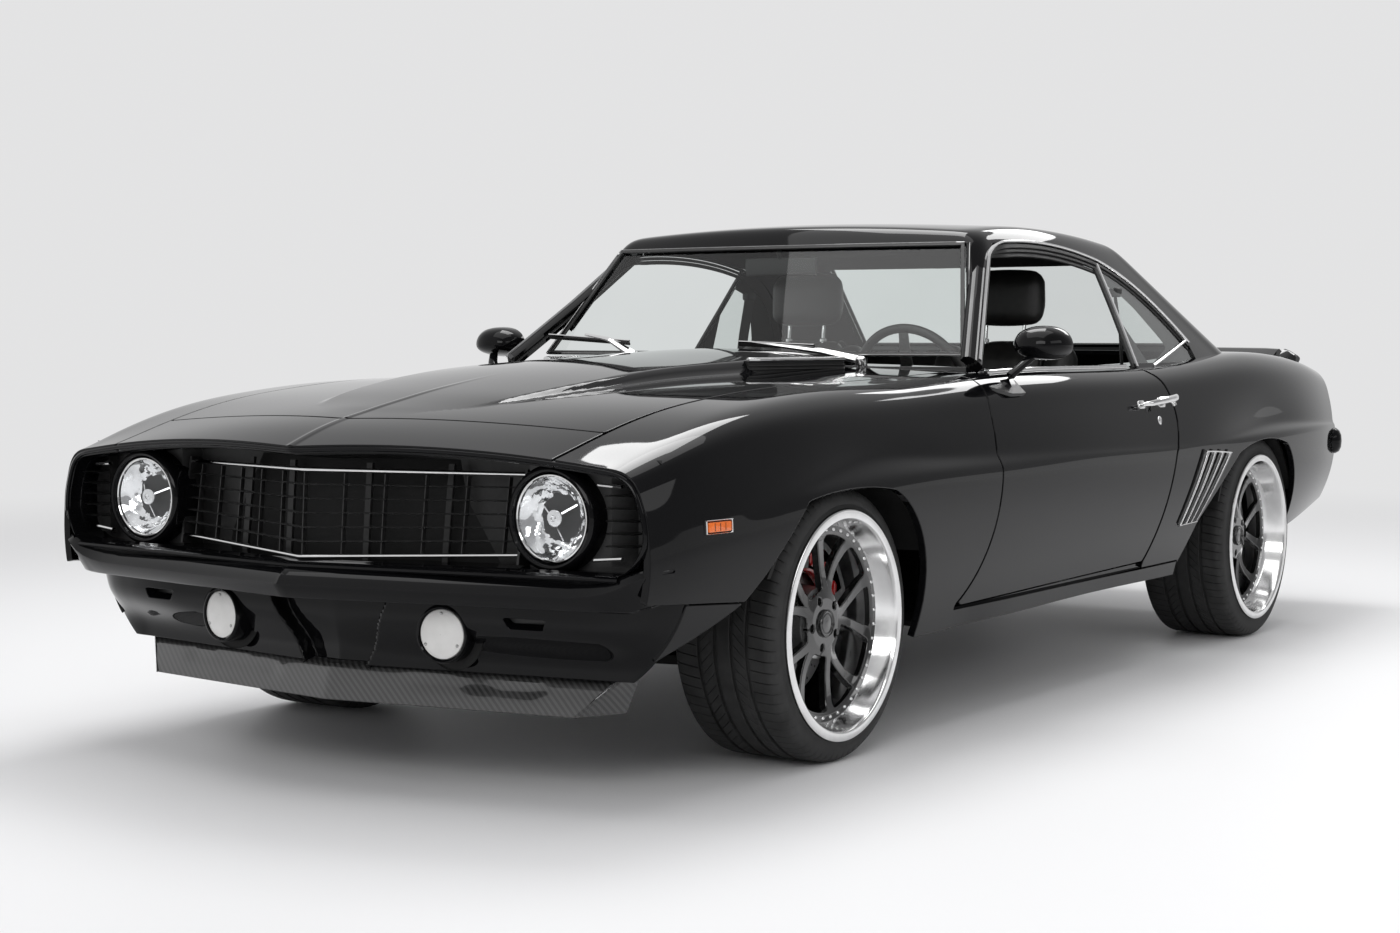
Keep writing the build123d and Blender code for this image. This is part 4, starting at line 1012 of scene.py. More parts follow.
def cowl_surface():
    s = body_surface(-540, -240, half=False)
    fields = [y_after(-523 + 1.5), lambda p: np.abs(p[:, 0]) - 757, above(700), y_before(-262)]
    return rolled_edge(*cut_surface(*s, fields), 2.0, 14)


def tulip_surface():
    s = body_surface(1420, 1600, half=False)
    fields = [y_before(1580 - 1.5), lambda p: np.abs(p[:, 0]) - 688, above(700), y_after(1432)]
    return rolled_edge(*cut_surface(*s, fields), 2.0, 14)


surface_object("header_skin", header_surface(), "body")
surface_object("cowl_skin", cowl_surface(), "body")
surface_object("tulip_skin", tulip_surface(), "body")


# ---- valance ---------------------------------------------------------------------------
VALANCE_TIP_Y = -2206.0
VALANCE_SLOPE = 0.165
VALANCE_TOP = outline((-2450, 465.4), (FRONT_AXLE_Y - 482, 424), (-1700, 424), (-1700, 700),
                      (-2450, 700))


def valance_sides():
    s = body_surface(-2345, -1780)
    fields = [
        lambda p: VALANCE_TIP_Y + VALANCE_SLOPE * p[:, 0] + 10 - p[:, 1],
        keep_out(VALANCE_TOP, "side", 1.5),
        keep_out(FRONT_ARCH, "side", 2.0),
        y_before(-1795), below(500), above(269),
    ]
    return rolled_edge(*cut_surface(*s, fields), PANEL_EDGE, 14)


both_panels("valance_side", valance_sides())


# ---- greenhouse ------------------------------------------------------------------------
# plan outline at the belt and at the top of the side glass: front middle, front corner,
# side start, side middle, side end, rear corner, rear middle
Outline = namedtuple("Outline", "z yf xf yfc xa ya xm ym xb yb xr yrc yr")
BELT = Outline(905, -500, 715, -460, 798, -350, 815, 400, 800, 1300, 700, 1530, 1592)
TOP = Outline(1262, -245, 585, -205, 622, -120, 628, 300, 612, 800, 540, 925, 975)
CROWN = [(-420, 1272, 1232), (-245, 1311, 1272), (100, 1338, 1311), (500, 1333, 1306),
         (900, 1298, 1268), (1300, 1226, 1190), (1700, 1140, 1100)]
WINDSHIELD = np.array([(-706, 950), (706, 950), (592, 1262), (-592, 1262)], float)
BACKLIGHT = np.array([(-640, 968), (640, 968), (520, 1248), (-520, 1248)], float)
WINDOW_Z = 918.0
SIDE_WINDOW = outline((-488, WINDOW_Z), (1034, WINDOW_Z), (1036, 976), ((818, 1145), (600, 1228)),
                      ((260, 1268), (-100, 1264)))
REAR_SIDE_WINDOW = outline((524, WINDOW_Z), (1034, WINDOW_Z), (1036, 976),
                           ((818, 1145), (600, 1228)))


def plan_outline(o):
    """Half outline from the front middle round the left side to the rear middle."""
    corner_a = ((o.xf + o.xa) / 2 + 0.16 * (o.xa - o.xf),
                (o.yfc + o.ya) / 2 - 0.16 * (o.ya - o.yfc))
    corner_c = ((o.xb + o.xr) / 2 + 0.18 * (o.xb - o.xr),
                (o.yb + o.yrc) / 2 + 0.16 * (o.yrc - o.yb))
    front = arc3((-o.xf, o.yfc), (0, o.yf), (o.xf, o.yfc), 108)[54:]
    pts = front + arc3((o.xf, o.yfc), corner_a, (o.xa, o.ya), 12)
    pts += arc3((o.xa, o.ya), (o.xm, o.ym), (o.xb, o.yb), 96)
    pts += arc3((o.xb, o.yb), corner_c, (o.xr, o.yrc), 22)
    pts += arc3((o.xr, o.yrc), (0, o.yr), (-o.xr, o.yrc), 100)[:51]
    p = np.array(pts, float)
    for _ in range(6):
        q = p.copy()
        q[1:-1] += 0.5 * ((p[:-2] + p[2:]) / 2 - p[1:-1])
        p = q
    p[0, 0] = 0
    p[-1, 0] = 0
    return p


def crown_z(x, y):
    c = spline_table([r[0] for r in CROWN], [r[1:] for r in CROWN], np.clip(y, -420, 1700).ravel())
    c = c.reshape(*np.shape(y), 2)
    return c[..., 0] - (c[..., 0] - c[..., 1]) * (x / 700.0) ** 2


def greenhouse_grid(inset=0.0):
    low = plan_outline(BELT)
    high = plan_outline(TOP)
    slope = (high - low) / (TOP.z - BELT.z)
    z = np.full(len(low), 1262.0)
    for _ in range(30):
        p = low + slope * (z - BELT.z)[:, None]
        z = z + 0.5 * (crown_z(p[:, 0], p[:, 1]) - z)
    start_z = 878.0
    loops = []
    wall, roof = 36, 52
    for i in range(wall):
        zi = start_z + (z - start_z) * i / wall
        p = low + slope * (zi - BELT.z)[:, None]
        loops.append(np.column_stack([p, zi]))
    edge = low + slope * (z - BELT.z)[:, None]
    spine = np.column_stack([0 * edge[:, 0], np.clip(edge[:, 1], 160, 560)])
    for i in range(roof + 1):
        t = i / roof * 0.985
        p = edge + (spine - edge) * t
        loops.append(np.column_stack([p, crown_z(p[:, 0], p[:, 1])]))
    g = np.array(loops)
    w = np.zeros(len(g))
    w[2:] = 0.5
    for _ in range(10):
        q = g.copy()
        q[1:-1] += w[1:-1, None, None] * ((g[:-2] + g[2:]) / 2 - g[1:-1])
        g = q
    # the wall's normals come from the grid, the roof's from its crown, blended over some rows
    n = unit(np.cross(np.gradient(g, axis=1), np.gradient(g, axis=0)))
    e = 4.0
    gx, gy = g[..., 0], g[..., 1]
    dzx = (crown_z(gx + e, gy) - crown_z(gx - e, gy)) / (2 * e)
    dzy = (crown_z(gx, gy + e) - crown_z(gx, gy - e)) / (2 * e)
    analytic = unit(np.stack([-dzx, -dzy, np.ones_like(dzx)], -1))
    k = np.clip((np.arange(len(g)) - (wall + 8)) / 8.0, 0, 1)[:, None, None]
    n = unit(n * (1 - k) + analytic * k)
    return g - n * inset, n


def greenhouse_surface(inset=0.0, stride=1):
    g, n = greenhouse_grid(inset)
    if stride > 1:
        rows = sorted(set(range(0, len(g), stride)) | {len(g) - 1})
        cols = sorted(set(range(0, g.shape[1], stride)) | {g.shape[1] - 1})
        g, n = g[rows][:, cols], n[rows][:, cols]
    mirror_g = g[:, ::-1] * np.array((-1, 1, 1))
    mirror_n = n[:, ::-1] * np.array((-1, 1, 1))
    g = np.concatenate([g, mirror_g[:, 1:-1]], 1)
    n = np.concatenate([n, mirror_n[:, 1:-1]], 1)
    rows, cols = g.shape[:2]
    i, j = np.meshgrid(np.arange(rows - 1), np.arange(cols), indexing="ij")
    a = (i * cols + j).ravel()
    b = (i * cols + (j + 1) % cols).ravel()
    faces = np.stack([a, b, b + cols, a + cols], 1).tolist()
    faces.append([(rows - 1) * cols + k for k in range(cols)])
    return g.reshape(-1, 3), n.reshape(-1, 3), faces


# what each window's outline is cut from: the part of the greenhouse where it applies
def in_front(p):
    return p[:, 1] < 150


def at_rear(p):
    return p[:, 1] > 780


def on_side(p):
    return np.abs(p[:, 0]) > 300


def on_left(p):
    return p[:, 0] > 300


def hole(poly, view, where, margin=1.0):
    """Field below zero outside an outline, and everywhere but where it applies."""
    i, j = AXES[view]
    return lambda p: np.where(where(p), margin - outline_distance(poly, p[:, i], p[:, j]), -100.0)


def pane(poly, view, where, margin=-8.0):
    """Glass a little larger than an outline, set in from the greenhouse's surface."""
    i, j = AXES[view]

    def field(p):
        return np.where(where(p), outline_distance(poly, p[:, i], p[:, j]) + margin, 100.0)
    return cut_surface(*greenhouse_surface(GLASS_INSET), [field])


GLASS_INSET = 7.0
# the foot of the pillars stands back from the door
DOOR_ROOM = np.array([(-700, 800), (505, 800), (505, 921), (-700, 921)], float)
HOLES = [hole(WINDSHIELD, "front", in_front), hole(BACKLIGHT, "front", at_rear),
         hole(SIDE_WINDOW, "side", on_side),
         hole(DOOR_ROOM, "side", lambda p: np.abs(p[:, 0]) > 752, 0.0)]

roof = rolled_edge(*cut_surface(*greenhouse_surface(), HOLES), 2.0, 20)
lining = inner_copy(*cut_surface(*greenhouse_surface(stride=2), HOLES), 24)
skin = surface_object("roof_skin", roof, "body")
surface_object("roof_lining", lining, "body", material=DASH)
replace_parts(skin, "roof_panel")

quarter = pane(REAR_SIDE_WINDOW, "side", on_left, -4.0)
for name, surface, material, node_name in (
        ("windshield_pane", pane(WINDSHIELD, "front", in_front), SCREEN_GLASS, "windshield"),
        ("rear_window_pane", pane(BACKLIGHT, "front", at_rear), SCREEN_GLASS, "rear_window"),
        ("quarter_pane", joined(quarter, mirrored_surface(*quarter)), SIDE_GLASS,
         "quarter_windows")):
    glass = surface_object(name, surface, "body", material=material)
    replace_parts(glass, node_name)


# ---- wheels: x outwards along the axle, y to the rear, z up from the hub ---------------
Axle = namedtuple("Axle", "y tyre_r tyre_in tyre_out lip_x face_x disc_x")
FRONT = Axle(FRONT_AXLE_Y, 325.0, 588.0, 862.0, 871.0, 812.0, 706.0)
REAR = Axle(REAR_AXLE_Y, 333.0, 602.0, 884.0, 893.0, 818.0, 716.0)
SPOKE_START = 6.0
LUG_START = 42.0
SPOKE_PITCH = 360 / 5
RIVETS = 40


def polar_grid(radii, count, height):
    """Disc surface facing +x: rows by radius, columns by angle."""
    t = np.linspace(0, 2 * math.pi, count, endpoint=False)
    r = np.asarray(radii, float)[:, None]
    p = np.empty((len(radii), count, 3))
    p[..., 0] = height(r)
    p[..., 1] = r * np.cos(t)[None, :]
    p[..., 2] = r * np.sin(t)[None, :]
    e = 0.5
    slope = (height(r + e) - height(r - e)) / (2 * e)
    n = np.stack([np.ones_like(p[..., 0]), -slope * np.cos(t), -slope * np.sin(t)], -1)
    i, j = np.meshgrid(np.arange(len(radii) - 1), np.arange(count), indexing="ij")
    a, b = (i * count + j).ravel(), (i * count + (j + 1) % count).ravel()
    faces = np.stack([a, a + count, b + count, b], 1).tolist()
    return p.reshape(-1, 3), unit(n).reshape(-1, 3), faces


def smooth_union(a, b, k):
    h = np.clip(0.5 + 0.5 * (b - a) / k, 0, 1)
    return b + (a - b) * h - k * h * (1 - h)


def spoke_field(p):
    """Below zero on the hub, the split spokes and the outer ring."""
    r = np.hypot(p[:, 1], p[:, 2])
    angle = np.degrees(np.arctan2(p[:, 2], p[:, 1]))
    half = SPOKE_PITCH / 2
    local = (angle - SPOKE_START + half) % SPOKE_PITCH - half
    part = np.clip((r - 66) / (214 - 66), 0, 1)
    centre = 3.0 + 15.5 * part ** 0.8
    width = 10.5 - 3.5 * np.sin(math.pi * part) + 2.0 * part
    tine = np.radians(np.abs(np.abs(local) - centre)) * r - width
    d = smooth_union(tine, r - 76, 16)
    d = smooth_union(d, 212 - r, 12)
    lug_angle = np.radians((angle - LUG_START + half) % SPOKE_PITCH - half)
    lug = 13.0 - np.hypot(r * np.cos(lug_angle) - 58, r * np.sin(lug_angle))
    return np.maximum(d, lug)


def face_height(r):
    dip = 9.0 * np.sin(math.pi * np.clip((r - 60) / 150, 0, 1))
    rise = 7.0 * np.clip((r - 196) / 20, 0, 1)
    return -dip + rise


def wheel_face():
    """Spoked face with rounded edges, and a plain copy of it that closes its back."""
    radii = np.concatenate([np.linspace(30, 80, 12), np.linspace(85, 233, 33)])
    s = cut_surface(*polar_grid(radii, 300, face_height), [spoke_field])
    s = rolled_edge(*s, 4.0, 15, steps=(22, 45, 68, 90))
    back = polar_grid(radii[::2], 200, face_height)
    back = inner_copy(*cut_surface(*back, [lambda p: spoke_field(p) - 2.5]), 18)
    return joined(s, back)


def dome(radius, height, n):
    prof = [(0, radius), (height * 0.45, radius * 0.92), (height * 0.85, radius * 0.6),
            (height, radius * 0.12)]
    return lathe_x(prof, n=n, caps=True)


def ring_of(shape, radius, count, start, x):
    """Copies of a shape at even turns round the axle."""
    out = Shape()
    for i in range(count):
        t = math.radians(start) + 2 * math.pi * i / count
        y, z = radius * math.cos(t), radius * math.sin(t)
        out.merge(shape.moved(lambda p: p + np.array((x, y, z))))
    return out


def arc_block(r0, r1, a0, a1, x0, x1, r):
    """Rounded bar bent round the axle between two angles."""
    n = 22
    prof = round_corners(x0, x1, r0, r1, r, 3)
    mid_x, mid_r = (x0 + x1) / 2, (r0 + r1) / 2
    loops = []
    for i in range(n + 1):
        t = math.radians(a0 + (a1 - a0) * i / n)
        end = min(i, n - i) / 3.0
        pinch = 1.0 if end >= 1 else 0.82 + 0.18 * end
        row = [(mid_x + (a - mid_x) * pinch, mid_r + (b - mid_r) * pinch) for a, b in prof]
        loops.append([(x, radius * math.cos(t), radius * math.sin(t)) for x, radius in row])
    return rings(loops)


PITCHES = 76
# by kind of row: how deep its cuts are, and how much they slant along the axle
CUT_DEPTH = {1: 3.2, 2: 2.2, 4: 2.2, 5: 3.2}
CUT_SLANT = {2: 1.0, 3: 0.0, 4: -1.0}


def tyre_shape(axle):
    """Tyre with round shoulders, four grooves round it and narrow cuts across its ribs."""
    x0, x1 = axle.tyre_in, axle.tyre_out
    r = axle.tyre_r
    grooves = [x1 - part * (x1 - x0) for part in (0.25, 0.40, 0.56, 0.72)]
    # rows of x, radius and kind: 0 plain, 1 outer shoulder, 2 to 4 ribs, 5 inner shoulder
    rows = [(x1 - 13, 259, 0), (x1 - 4, 266, 0), (x1 + 1.5, 272, 0), (x1 + 3.5, 276, 0),
            (x1 + 1.5, 280, 0), (x1 - 0.5, 284, 0), (x1 - 0.2, r - 33, 0),
            (x1 - 2.5, r - 22, 0), (x1 - 7, r - 12.5, 1), (x1 - 13, r - 6.5, 1),
            (x1 - 20, r - 3.3, 1), (x1 - 28, r - 1.8, 1), (x1 - 40, r - 1.1, 1)]
    last = x1 - 40
    for kind, g in enumerate(grooves, 1):
        rows += [((last + g + 5) / 2, r - 0.6, kind), (g + 6.0, r - 0.5, kind),
                 (g + 4.8, r - 1.4, 0), (g + 4.0, r - 7, 0), (g - 4.0, r - 7, 0),
                 (g - 4.8, r - 1.4, 0), (g - 6.0, r - 0.5, kind + 1)]
        last = g - 6
    rows += [((last + x0 + 40) / 2, r - 0.7, 5), (x0 + 40, r - 1.1, 5),
             (x0 + 28, r - 1.8, 5), (x0 + 20, r - 3.3, 5), (x0 + 13, r - 6.5, 5),
             (x0 + 7, r - 12.5, 5), (x0 + 2.5, r - 22, 0), (x0 + 0.5, r - 33, 0),
             (x0 + 2, 284, 0), (x0 + 8, 270, 0), (x0 + 16, 259, 0)]
    fractions = (0.0, 0.44, 0.5, 0.56)
    turns = np.array([(i + f) / PITCHES for i in range(PITCHES) for f in fractions])
    is_cut = np.tile([f == 0.5 for f in fractions], PITCHES)
    loops = []
    for x, radius, kind in rows:
        a = turns * 2 * math.pi + CUT_SLANT.get(kind, 0.15) * (x - grooves[1]) / radius
        rr = radius - is_cut * CUT_DEPTH.get(kind, 0.0)
        loops.append(np.column_stack([np.full(len(a), x), rr * np.cos(a), rr * np.sin(a)]))
    return rings(loops, caps=(False, False))


def wheel_parts(axle):
    """Pieces of one left wheel about its hub, each with its name, slot and material."""
    lip = axle.lip_x
    face = axle.face_x
    prof = [(axle.tyre_in + 8, 238), (axle.tyre_in + 8, 262), (axle.tyre_in + 14, 264),
            (axle.tyre_in + 20, 250), (lip - 22, 250), (lip - 13, 262), (lip - 9, 271.5),
            (lip - 5, 273.4), (lip - 1.6, 273.2), (lip - 0.2, 271.5), (lip, 269),
            (lip, 253.5), (lip - 0.8, 251.5), (lip - 3, 250.2), (lip - 9, 248.6),
            (lip - 24, 244), (face + 20, 237.5), (face + 12, 234.5), (face + 8, 232.5),
            (face + 4, 231), (face - 4, 231), (axle.tyre_in + 20, 236)]
    barrel = lathe_x(prof, n=144)
    spokes = wheel_face()
    rivets = ring_of(dome(4.6, 5.0, 12), 222.5, RIVETS, 3.0, face + 6.5)
    nut = lathe_x([(-8, 10.5), (0, 10.5), (2.5, 8.6), (3, 0.5)], n=6, caps=True)
    nuts = ring_of(nut, 58.0, 5, LUG_START, face - 12)
    cap = lathe_x([(-6, 33.5), (5.5, 33.5), (7.6, 32.2), (8, 30.4), (7, 29.2), (5.6, 28.4),
                 (5.6, 25.2), (6.8, 24.4), (7.4, 23.2), (6.6, 22.2), (5.0, 21.4), (5.4, 14),
                 (6.2, 7), (6.5, 0.4)], (face, 0, 0), 48, caps=True)
    d = axle.disc_x
    disc = lathe_x([(-13, 95), (-13, 174), (-11, 177.5), (11, 177.5), (13, 174), (13, 97),
                  (14, 92), (face - d - 20, 84), (face - d - 16, 60), (face - d - 16, 30)],
                 (d, 0, 0), 96)
    hole = lathe_x([(0, 3.2), (0.4, 3.0), (0.5, 0.3)], n=8, caps=True)
    holes = Shape()
    for k, radius in enumerate((108, 122, 136, 150, 164)):
        holes.merge(ring_of(hole, radius, 24, 3.0 * k, d + 13.0))
    return [("barrel", barrel, "trim_chrome", POLISHED), ("rivets", rivets, "trim_chrome", CHROME),
            ("nuts", nuts, "rim_black", BLACK_METAL), ("cap", cap, "rim_black", SPOKE_BLACK),
            ("disc", disc, "exhaust_steel", STEEL), ("holes", holes, "rim_black", SATIN)], spokes


def place_shape(shape, axle, side):
    """Carries a piece of the left wheel to its place on the car."""
    moved = shape.moved(lambda p: p + (0, axle.y, axle.tyre_r))
    return moved.mirrored() if side == "right" else moved


def make_wheel(axle, end):
    parts, spokes = wheel_parts(axle)
    tyre = tyre_shape(axle)
    p, n, f = spokes
    p = p + (axle.face_x, axle.y, axle.tyre_r)
    for side in ("left", "right"):
        body = f"wheel_{end}_{side}"
        objs = [place_shape(shape, axle, side).build(f"{name}_{end}_{side}", body, slot, material)
                for name, shape, slot, material in parts]
        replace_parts(objs[0], f"rim_{end}_{side}")
        surface = (p, n, f) if side == "left" else mirrored_surface(p, n, f)
        surface_object(f"spokes_{end}_{side}", surface, body, SPOKE_BLACK)
        rubber = place_shape(tyre, axle, side).build(f"tread_{end}_{side}", body, "tyre_rubber",
                                                     TYRE_RUBBER, sharp=28)
        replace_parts(rubber, f"tyre_{end}_{side}")


def caliper_shape(axle, a0, a1):
    d = axle.disc_x
    s = arc_block(118, 200, a0, a1, d + 19, d + 46, 8)
    s.merge(arc_block(118, 200, a0, a1, d - 46, d - 19, 8))
    s.merge(arc_block(184, 206, a0 + 6, a1 - 6, d - 40, d + 40, 6))
    for k in range(3):
        t = math.radians(a0 + (a1 - a0) * (0.22 + 0.28 * k))
        s.merge(lathe_x([(0, 19), (3, 18.4), (4.5, 16), (4.5, 0.5)],
                        (d + 45.5, 152 * math.cos(t), 152 * math.sin(t)), 20, caps=True))
    return s


make_wheel(FRONT, "front")
make_wheel(REAR, "rear")
for side in ("left", "right"):
    place_shape(caliper_shape(FRONT, 8, 92), FRONT, side).build(
        f"caliper_front_{side}", f"knuckle_{side}", "red_lens", RED)
    place_shape(caliper_shape(REAR, 20, 88), REAR, side).build(
        f"caliper_rear_{side}", "body", "red_lens", RED)


# ---- nose opening ----------------------------------------------------------------------
def crossings(g, field):
    """Point of each column of a grid where the field first rises past zero."""
    pts = []
    for j in range(g.shape[1]):
        k = int(np.argmax(field[:, j] > 0))
        if k:
            t = field[k - 1, j] / (field[k - 1, j] - field[k, j])
            pts.append(g[k - 1, j] * (1 - t) + g[k, j] * t)
    return np.array(pts)


def nose_edge():
    """Edge where the body meets the plane of the nose, from the left round to the right."""
    g = full_grid(body_grid(np.arange(-2345, -2100, 6.0)))
    g[..., 2] += scoop_lift(g[..., 0], g[..., 1])
    return crossings(g, g[..., 1] - v_plane(g[..., 0]))[:, (0, 2)]


def even_loop(points, step=8.0, passes=0):
    """Closed outline with points at an even spacing, its corners softened."""
    p = np.asarray(points, float)
    q = np.vstack([p, p[:1]])
    d = np.concatenate([[0], np.cumsum(np.linalg.norm(np.diff(q, axis=0), axis=1))])
    s = np.linspace(0, d[-1], int(d[-1] / step), endpoint=False)
    out = np.column_stack([np.interp(s, d, q[:, 0]), np.interp(s, d, q[:, 1])])
    for _ in range(passes):
        out = (np.roll(out, 1, 0) + 2 * out + np.roll(out, -1, 0)) / 4
    return out


def inset_loop(p, amount):
    """Closed outline moved inwards, towards the middle of what it goes round."""
    t = unit(np.roll(p, -1, 0) - np.roll(p, 1, 0))
    n = np.column_stack([-t[:, 1], t[:, 0]])
    if ((p.mean(0) - p) * n).sum() < 0:
        n = -n
    return p + n * np.asarray(amount, float).reshape(-1, 1)


edge = nose_edge()
edge = edge[edge[:, 1] > 566]
lower = [(-846, 540), (-818, 510), (-790, 502), (0, 499), (790, 502), (818, 510), (846, 540)]
OPENING = even_loop(np.vstack([edge, lower]), 8.0, 10)
low_part = np.clip((560 - OPENING[:, 1]) / 40, 0, 1)


def nose_loop(inset, back):
    p = inset_loop(OPENING, inset * (1 - 0.72 * low_part))
    return np.column_stack([p[:, 0], v_plane(p[:, 0]) + back, p[:, 1]])


ring = rings([nose_loop(a, b) for a, b in (
    (1.5, 16), (2.0, 7), (4.5, 2), (8.5, 0.5), (12.0, 2.5), (13.5, 7), (14.2, 22), (15.0, 40),
    (17.5, 43.5), (20.5, 43.5), (22.0, 47), (22.8, 60), (25.0, 100), (27.0, 150))],
    caps=(False, False))
skin = ring.build("nose_ring", "body", "body_paint", PAINT, sharp=50)
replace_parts(skin, "nose_panel")


def nose_floor():
    """Dark wall behind the opening, which carries the lamps."""
    s = Shape()
    xs = [500, 520, 560, 700, 770, 842]
    ys = [-2080, -2126, -2130, -2130, -2112, -2096]
    for sign in (1, -1):
        loops = [[(sign * x, y, 490), (sign * x, y, 745)] for x, y in zip(xs, ys)]
        s.merge(rings(loops, closed=False))
    return s.merge(rings([[(x, y, 490), (x, y, 745)]
                          for x, y in ((-500, -2080), (0, -2090), (500, -2080))], closed=False))


nose_floor().build("nose_wall", "body", "grille_black", SATIN)


def v_strip(points, half):
    """Profile (back, z) run along the nose's V from one side to the other."""
    return rings([[(x, v_plane(x) + b, z) for b, z in points]
                  for x in np.linspace(-half, half, 5)], closed=False)


# ---- grille ----------------------------------------------------------------------------
GRILLE_HALF = 500.0


def grille_point(x, z, back=0.0):
    """Point of the slanting grille at a height, so far back from its face."""
    t = (z - 514) / (709 - 514)
    tip = -2284 + 12 * t
    end = -2143 + 32 * t
    slope = (end - tip) / (505 - 4 * t)
    return (x, tip + slope * abs(x) + back, z)


def across_grille(z, droop, profile, xs):
    """Profile (back, up) run across the grille; its ends are lower than its middle by droop."""
    return rings([[grille_point(x, z - droop * abs(x) / GRILLE_HALF + dz, b)
                   for b, dz in profile] for x in xs])


def grille_bar(z, droop):
    """Bar 3.2 tall and 16 deep, pointed at the front."""
    profile = [(0, -1.6), (-4, 0), (0, 1.6), (16, 1.6), (16, -1.6)]
    return across_grille(z, droop, profile, (-500, -250, -6, 0, 6, 250, 500))


def grille_trim(z, radius, droop):
    """Half-round bright bar across the grille."""
    profile = [(-radius * math.cos(t), radius * math.sin(t))
               for t in np.linspace(-math.pi / 2, math.pi / 2, 9)]
    profile += [(12, radius), (12, -radius)]
    return across_grille(z, droop, profile, (-500, -250, -8, -3, 3, 8, 250, 500))


trims = grille_trim(709, 4.2, 3).merge(grille_trim(516, 4.0, -17))
skin = trims.build("grille_trims", "body", "trim_chrome", CHROME, sharp=50)
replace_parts(skin, "grille")

bars = Shape()
for i in range(1, 6):
    bars.merge(grille_bar(517 + (708 - 517) * i / 6, 3 - 20 * (1 - i / 6)))
bars.build("grille_bars", "body", "grille_black", BAR_GREY, sharp=30)
posts = Shape()
for k in range(-5, 6):
    x = k * 92.0
    part = abs(x) / GRILLE_HALF
    path = [grille_point(x, z, 6) for z in (519 + 17 * part, 702 - 3 * part)]
    posts.merge(sweep(path, [(-1.3, 0), (1.3, 0), (1.3, 12), (-1.3, 12)], up=(0, 1, 0)))
for x in (-300, -115, 115, 300):
    path = [grille_point(x, z, 58) for z in (505, 722)]
    posts.merge(sweep(path, [(-8, -4), (8, -4), (8, 4), (-8, 4)], up=(0, 1, 0)))
for sign in (1, -1):
    x = sign * 503
    posts.merge(sweep([grille_point(x, 512), grille_point(x, 716)],
                      [(-3, -6), (3, -6), (3, 60), (-3, 60)], up=(0, 1, 0)))
posts.build("grille_posts", "body", "grille_black", SATIN)
mesh_back = rings([[(x, grille_point(x, z, 90)[1], z) for z in (498, 730)]
                   for x in (-500, 0, 500)], closed=False)
mesh_back.build("grille_back", "body", "grille_black", UNDERSIDE)

# louvres and their trims outboard of the lamps
louvres = Shape()
end_trims = Shape()
for i in range(5):
    z = 672 - 26.4 * i
    x1 = 826 - 3.0 * i
    louvres.merge(rings([[(x, v_plane(x) + b, z + dz) for b, dz in
                          ((36, -1.6), (30, 0), (36, 1.6), (110, 1.6), (110, -1.6))]
                         for x in (752, x1)]))
for z, x0, x1, rise in ((695, 728, 782, -4), (535, 718, 782, 5)):
    end_trims.merge(rings([[(x, v_plane(x) + b, z + dz + rise * (x - x0) / (x1 - x0))
                            for b, dz in ((42, -3.5), (40, 0), (42, 3.5), (54, 3.5), (54, -3.5))]
                           for x in (x0, x1)]))
louvres.both().build("side_louvres", "body", "grille_black", BLACK_METAL)
end_trims.both().build("side_louvre_trims", "body", "trim_chrome", CHROME)
side_box = rings([[(x, v_plane(x) + b, z) for z in (522, 712)]
                  for x, b in ((742, 96), (748, 60), (790, 92), (834, 84))], closed=False)
side_box.both().build("side_louvre_backs", "body", "grille_black", SATIN)


# ---- headlamps -------------------------------------------------------------------------
LAMP = np.array((607.0, -2167.0, 618.0))


def turned(profile, n=72):
    """Profile (forward, radius) turned about the lamp's middle."""
    return lathe(profile, (0, -1, 0), LAMP, n)


bezel = turned([(-62, 116), (-20, 116), (-6, 115.5), (2, 113), (7, 109), (9, 104.5), (7, 100),
                (0, 97), (-6, 95.5), (-6, 92)])
skin = bezel.both().build("headlamp_bezels", "body", "grille_black", PAINT)
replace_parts(skin, "headlamps")
chrome_ring = turned([(-8, 96), (-2, 95.5), (1.5, 93.5), (2, 91), (0, 88.8), (-8, 88)])
chrome_ring.both().build("headlamp_rings", "body", "trim_chrome", CHROME)


def reflector(radius, depth):
    """Bowl with radial flutes and a facet pattern."""
    rows, n = 18, 60
    loops = []
    for i in range(rows + 1):
        part = i / rows
        r = radius * (1 - part) + 20 * part
        loop = []
        for j in range(n):
            t = 2 * math.pi * j / n
            facet = 1.6 * math.sin(10 * t + 1.2 * i) * math.sin(math.pi * part)
            facet += 1.1 * ((j // 5 + i // 3) % 2) * math.sin(math.pi * part)
            h = -depth * (1 - (r / radius) ** 2) - 6 + facet
            loop.append(LAMP + (r * math.cos(t), -h, r * math.sin(t)))
        loops.append(loop)
    return rings(loops, caps=(False, True))


bowl = reflector(88.5, 48)
bowl.both().build("headlamp_reflectors", "body", "trim_chrome", REFLECTOR, sharp=12)
shield = turned([(-52, 17), (-22, 17), (-14, 19.5), (-9, 18), (-7, 13), (-6.5, 7), (-10, 6),
                 (-12, 0.5)], 36)
for a in (35, 155, 275):
    t = math.radians(a)
    d = np.array((math.cos(t), 0, math.sin(t)))
    shield.merge(sweep([LAMP + d * 16 + (0, 16, 0), LAMP + d * 50 + (0, 38, 0)],
                       [(-2, -1), (2, -1), (2, 1), (-2, 1)], up=(0, 1, 0)))
shield.both().build("headlamp_shields", "body", "trim_chrome", POLISHED)
lens = turned([(-1, 91), (1.5, 86), (5, 74), (8.5, 56), (11, 32), (12, 12), (12.2, 0.5)])
lens.both().build("headlamp_lenses", "body", "lamp_glass", LENS_GLASS)


